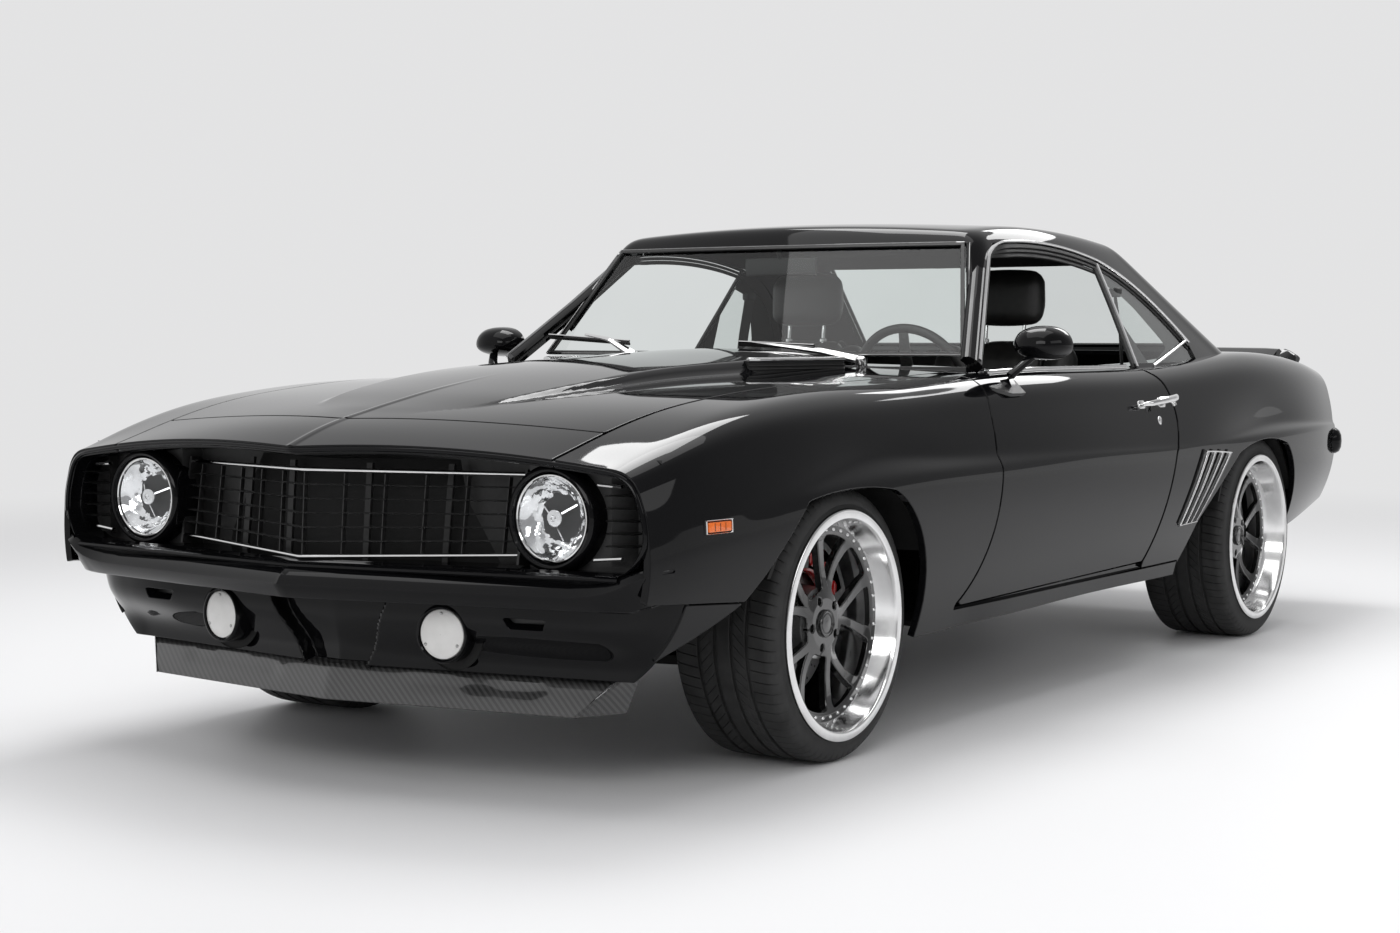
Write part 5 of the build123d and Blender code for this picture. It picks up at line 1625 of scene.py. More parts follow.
# ---- bumper ----------------------------------------------------------------------------
BumperRow = namedtuple("BumperRow", "x y crest_z top_z low_z top_back")
BUMPER = [
    BumperRow(0, -2360, 464, 499, 434, 40),
    BumperRow(14, -2356, 463, 498, 433, 40),
    BumperRow(400, -2282, 462, 497, 433, 40),
    BumperRow(640, -2236, 462, 497, 433, 38),
    BumperRow(700, -2225, 463, 498, 433, 36),
    BumperRow(740, -2218, 467, 501, 433, 33),
    BumperRow(775, -2212, 474, 505, 433, 30),
    BumperRow(805, -2207, 485, 511, 434, 26),
    BumperRow(830, -2200, 497, 516, 436, 21),
    BumperRow(850, -2190, 506, 519, 438, 16),
    BumperRow(866, -2172, 512, 521, 441, 12),
    BumperRow(877, -2146, 514, 522, 444, 8),
    BumperRow(884, -2112, 514, 522, 449, 6),
]


def bumper_loop(row):
    x, y, crest, top, low, back = row
    # past the corner the profile turns to face the side
    turn = min(max((x - 800) / 84, 0), 1) ** 1.3 * math.radians(74)
    out = np.array((math.sin(turn), -math.cos(turn)))
    prof = [(-2, low), (-5, low - 3), (-44, low - 6), (-50, low + 2), (-50, top - 4),
            (-back - 6, top + 0.5), (-back, top), (-back + 8, top - 3), (-10, crest + 13),
            (-4, crest + 4), (0, crest - 1), (-1, crest - 5)]
    pts = []
    for forward, z in prof:
        lean = -16 * (crest - z) / 30 if z < crest - 6 and forward > -10 else 0
        fx, fy = out * (forward + lean)
        pts.append((x + fx, y + fy, z))
    return pts


left = [bumper_loop(r) for r in BUMPER]
right = [[(-x, y, z) for x, y, z in loop] for loop in left[1:]]
bumper = rings(right[::-1] + left)
skin = bumper.build("bumper_front_bar", "body", "body_paint", PAINT, sharp=24)
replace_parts(skin, "bumper_front")

filler = v_strip([(34, 512), (16, 508), (4, 507), (-3, 503), (-5, 498), (-2, 494), (6, 492),
                  (10, 486), (30, 484)], 800)
filler.build("bumper_filler", "body", "body_paint", PAINT, sharp=30)
shelf = v_strip([(28, 511), (60, 506), (110, 503), (240, 503)], 812)
shelf.build("grille_shelf", "body", "grille_black", PAINT)


# ---- valance: V-shaped front with a recess in the middle -------------------------------
def side_start(zs):
    """Where the side of the lower panel begins: x and y at each height."""
    g = body_grid(np.arange(-2345, -1980, 6.0))[:, :CREASE_J]
    pts = crossings(g, g[..., 1] - (VALANCE_TIP_Y + 10 + VALANCE_SLOPE * g[..., 0]))
    x = np.interp(zs, pts[:, 2], pts[:, 0])
    return x, VALANCE_TIP_Y + 10 + VALANCE_SLOPE * x


def mirrored_row(x, y, z):
    """Row of points from the right end through the middle to the left end."""
    half = np.column_stack([x, y, z + 0 * x])
    return np.vstack([half[:0:-1] * (-1, 1, 1), half])


def valance_front():
    """Nearly flat face that leans back at the foot and turns to the side at its ends."""
    zs = np.linspace(269, 468, 27)
    xs = np.unique(np.concatenate([np.linspace(0, 250, 42), np.linspace(250, 702, 66)]))
    side_x, side_y = side_start(zs)
    rows = []
    for z, ex, ey in zip(zs, side_x, side_y):
        lift = smooth_step((z - 280) / 120)
        low = -2188 + 0.165 * xs
        high = -2204 + 0.03 * xs + 30 * np.clip((xs - 480) / 220, 0, 1) ** 2
        y = low + (high - low) * lift
        part = (z - 269) / (440 - 269)
        y = y + 34 * smooth_step((88 + 92 * part - xs) / 12 + 0.5)
        t = np.linspace(0, 1, 23)[1:]
        start = np.array((xs[-1], y[-1]))
        end = np.array((ex - 1, ey + 6))
        mid = start + (0.72, 0.3) * (end - start)
        turn = (np.outer((1 - t) ** 2, start) + np.outer(2 * t * (1 - t), mid)
                + np.outer(t ** 2, end))
        x = np.concatenate([xs, turn[:, 0]])
        y = np.concatenate([y, turn[:, 1]])
        a, b = len(xs) - 6, len(xs) + 4
        for _ in range(6):
            for v in (x, y):
                v[a:b] = (v[a - 1:b - 1] + 2 * v[a:b] + v[a + 1:b + 1]) / 4
        rows.append(mirrored_row(x, y, z))
    return np.array(rows)


def faced_grid(g, towards):
    """Surface over a grid whose normals and faces point forwards (-1) or to the rear (1)."""
    n = grid_normals(g)
    if n[..., 1].mean() * towards < 0:
        n = -n
    p = g.reshape(-1, 3)
    faces = grid_faces(*g.shape[:2])
    a, b, c = (p[faces[0][k]] for k in (0, 1, 2))
    if np.cross(b - a, c - a)[1] * towards < 0:
        faces = [face[::-1] for face in faces]
    return p, n.reshape(-1, 3), faces


front = faced_grid(valance_front(), -1)
FOG = np.array((330.0, -2190.0, 356.0))


def outside_fog_lamps(p):
    return 66 - np.hypot(np.abs(p[:, 0]) - FOG[0], p[:, 2] - FOG[2])


def outside_pair(poly):
    """Field below zero outside an outline (x, z) and its mirror."""
    return lambda p: -outline_distance(poly, np.abs(p[:, 0]), p[:, 2])


SLOT = np.array([(488, 404), (601, 404), (590, 376), (506, 376)], float)
front = cut_surface(*front, [outside_fog_lamps, outside_pair(SLOT)])
front = rolled_edge(*front, 2.0, 22)
skin = surface_object("valance_face", front, "body")
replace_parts(skin, "valance_front")
slot_back = rings([[(x, y, z) for z in (366, 414)] for x, y in ((476, -2168), (614, -2140))],
                  closed=False)
slot_back.both().build("valance_slot_backs", "body", "grille_black", SATIN)

fog_axis = unit(np.array((0.14, -1.0, 0.0)))


def fog_part(profile):
    return lathe(profile, fog_axis, FOG, 56)


fog_bezel = fog_part([(-40, 65.5), (-6, 65.5), (4, 65), (9, 62.5), (10, 59.5), (8, 57), (0, 56),
                      (-10, 55.5)])
skin = fog_bezel.both().build("fog_lamp_bezels", "body", "grille_black", PAINT)
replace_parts(skin, "road_lamps")
fog_lens = fog_part([(-10, 56), (3, 55.4), (5.5, 54), (7, 50), (9, 36), (10.5, 18), (11, 0.5)])
fog_lens.both().build("fog_lamp_lenses", "body", "lamp_glass", FROSTED)
screws = Shape()
for a in (90, 210, 330):
    t = math.radians(a)
    side = unit(np.cross(fog_axis, (0, 0, 1)))
    c = FOG + (side * math.cos(t) + np.array((0, 0, 1)) * math.sin(t)) * 46 + fog_axis * 8
    screws.merge(lathe([(-2, 3.4), (1.2, 3.4), (2.2, 2.4), (2.4, 0.3)], fog_axis, c, 14))
screws.both().build("fog_lamp_screws", "body", "trim_chrome", STEEL)


# ---- splitter --------------------------------------------------------------------------
def splitter_grid():
    """Folded plate: low front edge forward, sloping back to the panel above it."""
    rows = []
    us = np.linspace(0, 1, 61)
    # height, tip y, end x, end y
    face = [(187.2, -2200, 625, -2106), (187.2, -2204.5, 628, -2110), (189.5, -2206, 629, -2111.5),
            (196, -2205, 634, -2108), (206, -2202, 642, -2101), (218, -2199, 651, -2092),
            (230, -2196, 660, -2083), (242, -2192, 670, -2073), (252, -2188, 679, -2064),
            (260, -2184, 688, -2055), (266, -2178, 698, -2046), (269, -2168, 706, -2040)]
    for z, tip, ex, ey in face:
        t = (z - 187) / (269 - 187)
        x = ex * us
        y = tip + (ey - tip) * us
        # shallow channels pressed into the upper part of each side
        swell = smooth_step((us - 0.22) / 0.12) * smooth_step((0.86 - us) / 0.12)
        band = math.sin(math.pi * min(max((t - 0.28) / 0.66, 0), 1)) ** 2
        y = y + 5.5 * swell * band
        line = np.exp(-((t - 0.78) / 0.07) ** 2) * smooth_step((us - 0.6) / 0.05)
        y = y - 2.5 * line
        rows.append(mirrored_row(x, y, z))
    return np.array(rows)


g = splitter_grid()
under = g + (0, 9, 2)
under[0, :, 2] = 187.2
s = rings(g, closed=False).merge(rings(under, closed=False))
for side in (0, -1):
    s.merge(rings([g[:, side], under[:, side]], closed=False))
s.merge(rings([g[0], under[0]], closed=False))
ends = sweep([(628, -2110, 188), (705, -2041, 268)], [(-1, -5), (5, -5), (5, 6), (-1, 6)],
             up=(-0.6, 1, 0))
end_plate = Shape()
end_plate.add([(629, -2108, 188), (690, -2010, 190), (712, -1990, 269), (706, -2040, 269)],
              [(0, 1, 2, 3)])
bottom = Shape()
bottom.add([(0, -2200, 188), (627, -2106, 188), (690, -2010, 190), (0, -2130, 190),
            (-690, -2010, 190), (-627, -2106, 188)], [(0, 1, 2, 3), (0, 3, 4, 5)])
top = Shape()
top.add([(0, -2168, 269), (706, -2040, 269), (712, -1996, 269), (0, -2100, 269),
         (-712, -1996, 269), (-706, -2040, 269)], [(0, 1, 2, 3), (0, 3, 4, 5)])
s.merge(ends.both()).merge(end_plate.both()).merge(bottom).merge(top)
skin = s.build("splitter_blade", "body", "carbon", CARBON, sharp=28)
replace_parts(skin, "splitter")

cups = lathe([(0, 84), (3, 84), (3, 1)], (0, 1, 0), FOG + (0, 34, 0), 48)
cups.both().build("fog_lamp_cups", "body", "grille_black", UNDERSIDE)


# ---- trim laid on the body and the greenhouse ------------------------------------------
def tree_of(surface):
    p, _, f = surface
    return BVHTree.FromPolygons(p.tolist(), f)


GREEN = tree_of(greenhouse_surface())
SIDE_SKIN = tree_of(body_surface(-2340, 2300))


def landed(tree, starts, direction, lift=0.0):
    """Where each start meets the surface along a direction, lifted off it, with the normals."""
    places, normals = [], []
    for start in starts:
        place, normal, _, _ = tree.ray_cast(Vector(start), Vector(direction))
        if place is None:
            place, normal, _, _ = tree.find_nearest(Vector(start))
        if normal.dot(Vector(direction)) > 0:
            normal = -normal
        places.append(place)
        normals.append(normal)
    places = np.array(places)
    normals = unit(np.array(normals))
    return places + normals * lift, normals


def side_line(tree, points, lift=0.0):
    """Points given as y, z laid on the left side."""
    return landed(tree, [(1400, y, z) for y, z in points], (-1, 0, 0), lift)


def even_line(points, step):
    """Open line resampled at an even step."""
    p = np.asarray(points, float)
    s = np.concatenate([[0], np.cumsum(np.linalg.norm(np.diff(p, axis=0), axis=1))])
    at = np.linspace(0, s[-1], max(2, int(round(s[-1] / step))) + 1)
    return np.column_stack([np.interp(at, s, p[:, k]) for k in range(p.shape[1])])


def softened(rows, passes):
    """Rows of an open line averaged with their neighbours; its ends stay."""
    n = np.array(rows, float)
    for _ in range(passes):
        n[1:-1] = (n[:-2] + 2 * n[1:-1] + n[2:]) / 4
    return n


def laid_strip(tree, points, profile, lift=0.0, step=12, scale=None):
    """Profile carried along a line of y, z on the left side, its foot in the surface."""
    p, n = side_line(tree, even_line(points, step), lift)
    return sweep(p, profile, unit(softened(n, 4)), scale=scale)


def bead(width, height, n=7):
    """Half-round section standing on its foot, slightly sunk."""
    arc = [(width / 2 * math.cos(t), height * math.sin(t))
           for t in np.linspace(0, math.pi, n)]
    return [(width / 2, -3)] + arc + [(-width / 2, -3)]


def closed_sweep(path, profile, ups):
    """Profile carried round a closed path; ups has the way up at each point."""
    p = np.asarray(path, float)
    tang = unit(np.roll(p, -1, axis=0) - np.roll(p, 1, axis=0))
    side = unit(np.cross(tang, ups))
    up2 = np.cross(side, tang)
    loops = [[p[i] + side[i] * a + up2[i] * b for a, b in profile] for i in range(len(p))]
    return rings(loops + loops[:1], caps=(False, False))


def round_windows(profile, inset):
    """Profile carried round the windshield and the rear window, inset towards their middles."""
    s = Shape()
    for poly, start_y, direction in ((WINDSHIELD, -900, (0, 1, 0)), (BACKLIGHT, 1900, (0, -1, 0))):
        line = even_loop(poly, 14.0)
        centre = line.mean(0)
        line = centre + (line - centre) * (1 - inset / 400)
        p, n = landed(GREEN, [(x, start_y, z) for x, z in line], direction)
        s.merge(closed_sweep(p, profile, n))
    return s


def flat_band(width, height):
    w = width / 2
    half = [(w, -4), (w, height - 1), (w - 1, height)]
    return half + [(-x, z) for x, z in reversed(half)]


# rubber against the glass, and a thin bright line round it
round_windows(flat_band(12, 2), 6).build("window_gaskets", "body", "frame_black", SATIN)
round_windows(bead(4, 3.5, 5), -3.5).build("window_reveals", "body", "trim_chrome", BLACK_CHROME)

# drip rail up the pillar and over the side windows, with the seals under it
PILLAR = np.array([(790, -520, 936), (700, -308, 1100), (622, -122, 1256)], float)
ARC = outline((-60, 1264), ((260, 1268), (600, 1228)), ((818, 1145), (1036, 976)))
rail_path = even_line(ARC, 10)


def window_arc(offset):
    """The side window's edge over the roof, moved inwards."""
    t = unit(np.gradient(rail_path, axis=0))
    inward = np.column_stack([t[:, 1], -t[:, 0]])
    return rail_path + inward * offset


def rail_line(offset, lift):
    """From the foot of the pillar up it and on along the window's edge, with its normals."""
    p, n = side_line(GREEN, window_arc(offset), lift)
    t = unit(PILLAR[2] - PILLAR[0])
    out = unit(np.cross((0.0, 0.55, 0.83), t))
    if out[0] < 0:
        out = -out
    inward = unit(np.cross(t, out))
    if inward[1] < 0:
        inward = -inward
    foot = even_line(PILLAR, 14) + inward * offset + out * lift
    q = np.vstack([foot[:-1], p[1:]])
    m = np.vstack([np.tile(out, (len(foot) - 1, 1)), n[1:]])
    return softened(q, 4), unit(softened(m, 10))


p, n = rail_line(-3, 1)
sweep(p, bead(9, 7), n).both().build("drip_rails", "body", "trim_chrome", CHROME)
seal = Shape()
for offset, lift, width in ((9, -2, 12), (20, -7, 9), (30, -13, 11)):
    p, n = rail_line(offset, lift)
    seal.merge(sweep(p, flat_band(width, 3), n))
seal.both().build("side_window_seals", "body", "frame_black", SATIN)
cover = sweep(even_line(PILLAR + (-10, 2, -6), 20),
              [(26, -22), (26, 0), (18, 7), (-4, 9), (-26, 4), (-36, -8), (-34, -22)],
              up=(0.86, -0.28, 0.42))
cover.both().build("pillar_covers", "body", "body_paint", PAINT, sharp=50)

# the quarter window's own black frame, its glass cut smaller inside it
FRAME_IN = np.array([(632, 915), (655, 912), (845, 962), (835, 985), (738, 1085), (655, 1140),
                     (548, 1166), (541, 1128)], float)


s = cut_surface(*greenhouse_surface(9.0), [
    lambda p: np.where(on_left(p), keep_in(REAR_SIDE_WINDOW, "side", -3.0)(p), 100.0),
    keep_out(FRAME_IN, "side")])
surface_object("quarter_window_frames", joined(s, mirrored_surface(*s)), "body",
               material=SATIN)

# divider bar at the front of the quarter window, and the trim that climbs to the pillar
divider = laid_strip(GREEN, [(512, 908), (560, 1090), (590, 1222)],
                     [(8, -8), (8, 1), (5, 4), (-5, 4), (-8, 1), (-8, -8)], lift=-2)
divider.merge(laid_strip(GREEN, [(640, 909), (820, 944), (1022, 984)], bead(10, 6), step=10))
divider.both().build("quarter_window_trims", "body", "trim_chrome", CHROME)
channel = laid_strip(GREEN, [(498, 908), (546, 1090), (576, 1222)], flat_band(13, 3), lift=-8)
channel.both().build("divider_channels", "body", "frame_black", RUBBER)


def top_line(x, y0, y1, lift, step=30.0):
    """Line along the car on top of the body at a given x."""
    ys = np.arange(y0, y1 + 1, step)
    return landed(SIDE_SKIN, [(x, y, 1400) for y in ys], (0, 0, -1), lift)


def on_doors(name, shape, slot, material, sharp=35.0):
    """A piece of the left door and its mirror on the right door."""
    return {side: s.build(f"{name}_{side}", f"door_{side}", slot, material, sharp)
            for side, s in (("left", shape), ("right", shape.mirrored()))}


p, n = top_line(797, -470, 486, 1.0)
on_doors("belt_trim", sweep(p, bead(9, 8), n), "trim_chrome", CHROME)
p, n = top_line(786, -470, 486, -1.0)
on_doors("belt_seal", sweep(p, flat_band(9, 6), n), "frame_black", RUBBER)
p, n = top_line(800, 512, 640, 1.0, 16.0)
sweep(p, bead(9, 8), n).both().build("belt_trim_rear", "body", "trim_chrome", CHROME)

# ---- louvres ahead of the rear wheels --------------------------------------------------
LOUVRE_TOP = [(804, 640), (868, 637), (934, 633), (1000, 629)]
LOUVRE_LOW = [(640, 424), (686, 424), (730, 425), (772, 425)]
gills = Shape()
gill_backs = Shape()
for (yt, zt), (yb, zb) in zip(LOUVRE_TOP, LOUVRE_LOW):
    line = [(yt, zt), ((yt + yb) / 2 + 4, (zt + zb) / 2), (yb, zb)]
    k = np.linspace(1, 0.62, len(even_line(line, 12)))
    gills.merge(laid_strip(SIDE_SKIN, line, bead(6.5, 9), scale=k))
    gill_backs.merge(laid_strip(SIDE_SKIN, [(y - 14, z) for y, z in line],
                                [(17, -3), (17, 6), (10, 3), (-10, 0.6), (-17, -3)], scale=k))
for line, section in (([(788, 642), (868, 639), (934, 635), (1003, 630)], bead(7, 8)),
                      ([(628, 422), (686, 423), (730, 424), (776, 425)], bead(5, 7))):
    gills.merge(laid_strip(SIDE_SKIN, line, section))
gills.both().build("quarter_louvre_trims", "body", "trim_chrome", CHROME)
gill_backs.both().build("quarter_louvres", "body", "frame_black", BLACK_METAL)


# ---- side markers ----------------------------------------------------------------------
def side_plate(y0, y1, z0, z1, proud, r):
    """Rounded plate laid on the side between two heights."""
    p, n = side_line(SIDE_SKIN, round_corners(y0, y1, z0, z1, r, 4))
    n = unit(n.mean(0))
    mid = p.mean(0)
    return rings([p - n * 4, p + n * (proud - 1.5), mid + (p - mid) * 0.985 + n * (proud - 0.4),
                  mid + (p - mid) * 0.95 + n * proud])


side_plate(-2008, -1932, 590, 611, 6, 3).both().build("side_markers", "body", "lamp_glass", AMBER)
bezel = laid_strip(SIDE_SKIN, [(-2014, 615), (-1926, 615)], bead(4, 7))
bezel.merge(laid_strip(SIDE_SKIN, [(-2014, 586.5), (-1926, 586.5)], bead(3, 6)))
for y in (-2013, -1927):
    bezel.merge(laid_strip(SIDE_SKIN, [(y, 586), (y, 616)], bead(3, 6), step=8))
bezel.both().build("side_marker_bezels", "body", "trim_chrome", CHROME)
bars = Shape()
for y in (-1988, -1970, -1952):
    bars.merge(laid_strip(SIDE_SKIN, [(y, 592), (y, 609)], bead(2, 7), step=8))
bars.both().build("side_marker_bars", "body", "frame_black", SATIN)


# ---- door handles and locks ------------------------------------------------------------
def door_handle():
    """Pull standing off two feet, with its push button and the key lock below."""
    grip_path = even_line([(913, 318, 799), (931, 338, 803), (940, 372, 807), (942, 430, 811),
                           (941, 492, 815), (938, 512, 816)], 9)
    k = np.interp(np.linspace(0, 1, len(grip_path)), [0, 0.12, 0.5, 1], [0.45, 0.8, 1, 1.1])
    grip = sweep(grip_path, oval(7, 10, 12), scale=k)
    grip.merge(sweep([(892, 490, 808), (906, 492, 810), (932, 494, 812)], circle(10, 12)))
    grip.merge(sweep([(932, 486, 806), (938, 490, 800), (940, 492, 793)], circle(8, 12),
                     up=(1, 0, 0)))
    grip.merge(lathe([(-14, 8), (2, 14), (5, 13), (7, 9), (6, 6), (7, 0.5)], (1, 0.03, 0.15),
                     (903, 462, 748), 28, caps=True))
    grip.merge(side_plate(318, 366, 786, 810, 4, 10))
    return grip.merge(side_plate(470, 520, 786, 816, 4, 10))


on_doors("door_handle", door_handle(), "trim_chrome", CHROME, sharp=40)


# ---- door mirrors ----------------------------------------------------------------------
MirrorRow = namedtuple("MirrorRow", "y wide tall low x z")
MIRROR = [MirrorRow(-462, 8, 6, 5, 912, 975), MirrorRow(-456, 34, 26, 14, 912, 975),
          MirrorRow(-444, 54, 38, 24, 913, 976), MirrorRow(-424, 68, 47, 32, 914, 977),
          MirrorRow(-398, 75, 51, 37, 915, 977), MirrorRow(-372, 76, 52, 40, 916, 977),
          MirrorRow(-360, 75, 51, 40, 916, 977)]


def mirror_loop(row, k=1.0):
    """Oval with a flatter underside."""
    pts = []
    for t in np.linspace(0, 2 * math.pi, 40, endpoint=False):
        c, s = math.cos(t), math.sin(t)
        up = row.tall * s if s > 0 else row.low * (abs(s) ** 0.8) * -1
        pts.append((row.x + row.wide * k * math.copysign(abs(c) ** 0.88, c), row.y,
                    row.z + up * k))
    return pts


face = MIRROR[-1]
shell = rings([mirror_loop(r) for r in MIRROR], caps=(True, False))
shell.merge(rings([mirror_loop(face), mirror_loop(face, 0.95),
                   mirror_loop(face._replace(y=-366), 0.93)], caps=(False, False)))
shell.merge(sweep([(905, -436, 944), (888, -462, 922), (868, -486, 896), (858, -494, 876),
                   (852, -500, 862)], oval(17, 11, 16), up=(0.3, 0.3, 0.6),
                  scale=[0.8, 0.85, 1.0, 1.25, 1.5]))
glass = rings([mirror_loop(face._replace(y=-365.5), 0.93)], caps=(False, True))
foot = rings([[(838, -600, 870), (864, -590, 858), (884, -520, 842), (884, -440, 842),
               (848, -426, 872), (838, -440, 880)],
              [(838, -600, 878), (868, -588, 866), (892, -520, 850), (892, -440, 850),
               (850, -424, 884), (838, -438, 888)]])
for side, skin in on_doors("mirror_shell", shell, "body_paint", PAINT, sharp=50).items():
    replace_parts(skin, f"mirror_{side}")
on_doors("mirror_glass", glass, "trim_chrome", REFLECTOR)
on_doors("mirror_foot", foot, "frame_black", SATIN, sharp=25)


# ---- wipers and the scoop's side vents -------------------------------------------------
GLASS_UP = (0, -0.55, 0.83)


def wiper(pivot, elbow, tip, blade_a, blade_b):
    """Tapered flat arm from a round pivot, carrying a thin blade, and the blade's rubber."""
    arm_path = even_line([pivot, elbow, tip], 16)
    k = np.linspace(1.25, 0.42, len(arm_path))
    arm = sweep(arm_path, [(-11, 0), (-9, 5), (0, 8), (9, 5), (11, 0), (9, -4), (-9, -4)],
                up=GLASS_UP, scale=k)
    arm.merge(lathe([(-26, 13), (4, 15), (9, 13), (12, 7), (12.5, 0.5)], (0, -0.3, 0.95), pivot,
                    28, caps=True))
    blade_path = even_line([blade_a, blade_b], 20)
    arm.merge(sweep(blade_path, [(-3.5, 0), (-2, 6), (2, 6), (3.5, 0)], up=GLASS_UP))
    rubber = sweep(blade_path - (0, 0, 3), [(-2, -7), (-2, 3), (2, 3), (2, -7)], up=GLASS_UP)
    return arm, rubber


arm_l, rubber_l = wiper((425, -506, 934), (300, -500, 958), (66, -490, 984), (20, -488, 982),
                        (272, -494, 973))
arm_r, rubber_r = wiper((-330, -506, 944), (-420, -502, 990), (-512, -498, 1006),
                        (-640, -505, 1002), (-352, -498, 984))
skin = arm_l.merge(arm_r).build("wiper_arms", "body", "trim_chrome", CHROME, sharp=30)
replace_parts(skin, "wipers")
rubber_l.merge(rubber_r).build("wiper_rubbers", "body", "frame_black", RUBBER)

VENT_PATH = even_line([(334, -936, 0), (350, -900, 0), (380, -740, 0), (408, -560, 0)], 30)


def vent_bar(z, radius, inset):
    """Rounded bar along the scoop's side at height z."""
    return sweep(VENT_PATH + (-inset, 0, z), circle(radius, 12))


vent = sweep(VENT_PATH + (-14, 0, 918), [(10, -26), (12, 18), (-16, 20), (-16, -26)])
for z in (905, 914, 923):
    vent.merge(vent_bar(z, 2.6, 3))
vent.both().build("scoop_vents", "hood", "grille_black", SATIN)
vent_trim = vent_bar(938, 7.5, 5).merge(vent_bar(898, 2.6, -2))
vent_trim.both().build("scoop_vent_trims", "hood", "trim_chrome", CHROME)


# ---- spoiler ---------------------------------------------------------------------------
SpoilerRow = namedtuple("SpoilerRow", "x y0 y1 y2 z0 z1 z2")
SPOILER = [SpoilerRow(0, 2120, 2262, 2296, 915, 956, 941),
           SpoilerRow(400, 2114, 2256, 2290, 914, 956, 941),
           SpoilerRow(600, 2102, 2246, 2280, 912, 954, 939),
           SpoilerRow(655, 2098, 2236, 2268, 911, 951, 936),
           SpoilerRow(700, 2110, 2222, 2250, 905, 944, 929),
           SpoilerRow(738, 2150, 2200, 2222, 893, 926, 914)]


def spoiler_loop(r, sign=1):
    """Section of the ducktail at a row: its foot, its crest and its rear lip."""
    pts = [(r.y0, r.z0 - 14), (r.y0, r.z0), ((r.y0 + r.y1) / 2, (r.z0 + r.z1) / 2 - 6),
           (r.y1 - 20, r.z1 - 3), (r.y1, r.z1), (r.y2 - 3, r.z2 + 5), (r.y2, r.z2),
           (r.y2 - 4, r.z2 - 5), (r.y1 - 20, r.z0 - 8), (r.y1 - 40, r.z0 - 26)]
    return [(sign * r.x, y, z) for y, z in pts]


blade = rings([spoiler_loop(r, -1) for r in reversed(SPOILER[1:4])]
              + [spoiler_loop(r) for r in SPOILER[:4]])
skin = blade.build("spoiler_blade", "trunk_lid", "body_paint", PAINT, sharp=28)
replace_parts(skin, "spoiler")
ends = rings([spoiler_loop(r) for r in [SPOILER[3]._replace(x=676)] + SPOILER[4:]])
ends.both().build("spoiler_ends", "body", "body_paint", PAINT, sharp=28)


# ---- tail panel, lamps and rear bumper -------------------------------------------------
def tail_surface():
    """Slightly crowned panel between the rear corners, open where the lamps stand."""
    x, z = np.meshgrid(np.linspace(-797, 797, 140), np.linspace(412, 781, 40))
    y = TAIL_Y - 1 - 10 * (x / 797) ** 2 - 0.05 * np.maximum(640 - z, 0)
    lamps = np.array([(395, 639), (725, 639), (725, 743), (395, 743)], float)
    corner = body_grid([2281.0])[0][:72]

    def inside_body(p):
        return np.abs(p[:, 0]) - np.interp(p[:, 2], corner[:, 2], corner[:, 0]) + 9
    return cut_surface(*faced_grid(np.stack([x, y, z], -1), 1), [outside_pair(lamps), inside_body])


skin = surface_object("tail_skin", rolled_edge(*tail_surface(), PANEL_EDGE, 14), "body")
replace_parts(skin, "tail_panel")
band = sweep(even_line([(-388, TAIL_Y + 1, 691), (388, TAIL_Y + 1, 691)], 60),
             [(0, 44), (3, 40), (3, -40), (0, -44), (-4, -44), (-4, 44)])
band.build("tail_centre_panel", "body", "grille_black", SATIN)


def rounded_plate(x0, x1, z0, z1, y0, y1, r, soften=3.0):
    """Plate facing the rear with rounded corners and a softened face."""
    return rings([[(x, y, z) for x, z in round_corners(x0, x1, z0, z1, r, 4, inset)]
                  for inset, y in ((0, y0), (0, y1 - soften), (0.3 * soften, y1 - 0.3 * soften),
                                   (soften, y1))])


frames = Shape()
lenses = Shape()
for x0, x1 in ((401, 505), (508, 612), (615, 719)):
    lenses.merge(rounded_plate(x0, x1, 646, 736, 2262, 2287, 8, 5))
for z in (668, 691, 714):
    frames.merge(rounded_plate(401, 719, z - 1, z + 1, 2280, 2290, 0.9, 0.6))
for x in (506.5, 613.5):
    frames.merge(rounded_plate(x - 1.5, x + 1.5, 644, 738, 2268, 2290, 1.4, 0.8))
for z in (642, 740):
    frames.merge(rounded_plate(396.5, 723.5, z - 2, z + 2, 2262, 2292, 1.9, 1))
for x in (398.5, 721.5):
    frames.merge(rounded_plate(x - 2, x + 2, 641, 741, 2262, 2292, 1.9, 1))
reverse = rounded_plate(560, 600, 674, 708, 2284, 2291, 5, 2)
lens_obj = lenses.both().build("tail_lenses", "body", "red_lens", RED_LENS)
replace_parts(lens_obj, "tail_lamps")
frames.both().build("tail_lamp_frames", "body", "trim_chrome", BLACK_CHROME)
reverse.both().build("reversing_lenses", "body", "lamp_glass", FROSTED)
backs = rounded_plate(397, 723, 641, 741, 2250, 2262, 5, 1)
backs.both().build("tail_lamp_backs", "body", "grille_black", SATIN)

RearRow = namedtuple("RearRow", "x y turn size")
REAR_BUMPER = [RearRow(0, 2361, 0, 1.0), RearRow(350, 2359, 1, 1.0), RearRow(650, 2354, 3, 1.0),
               RearRow(760, 2347, 10, 1.0), RearRow(820, 2334, 28, 1.0),
               RearRow(858, 2312, 50, 1.0), RearRow(878, 2284, 70, 1.0),
               RearRow(886, 2256, 82, 0.97), RearRow(887, 2236, 88, 0.88),
               RearRow(884, 2222, 90, 0.66), RearRow(878, 2214, 90, 0.34)]


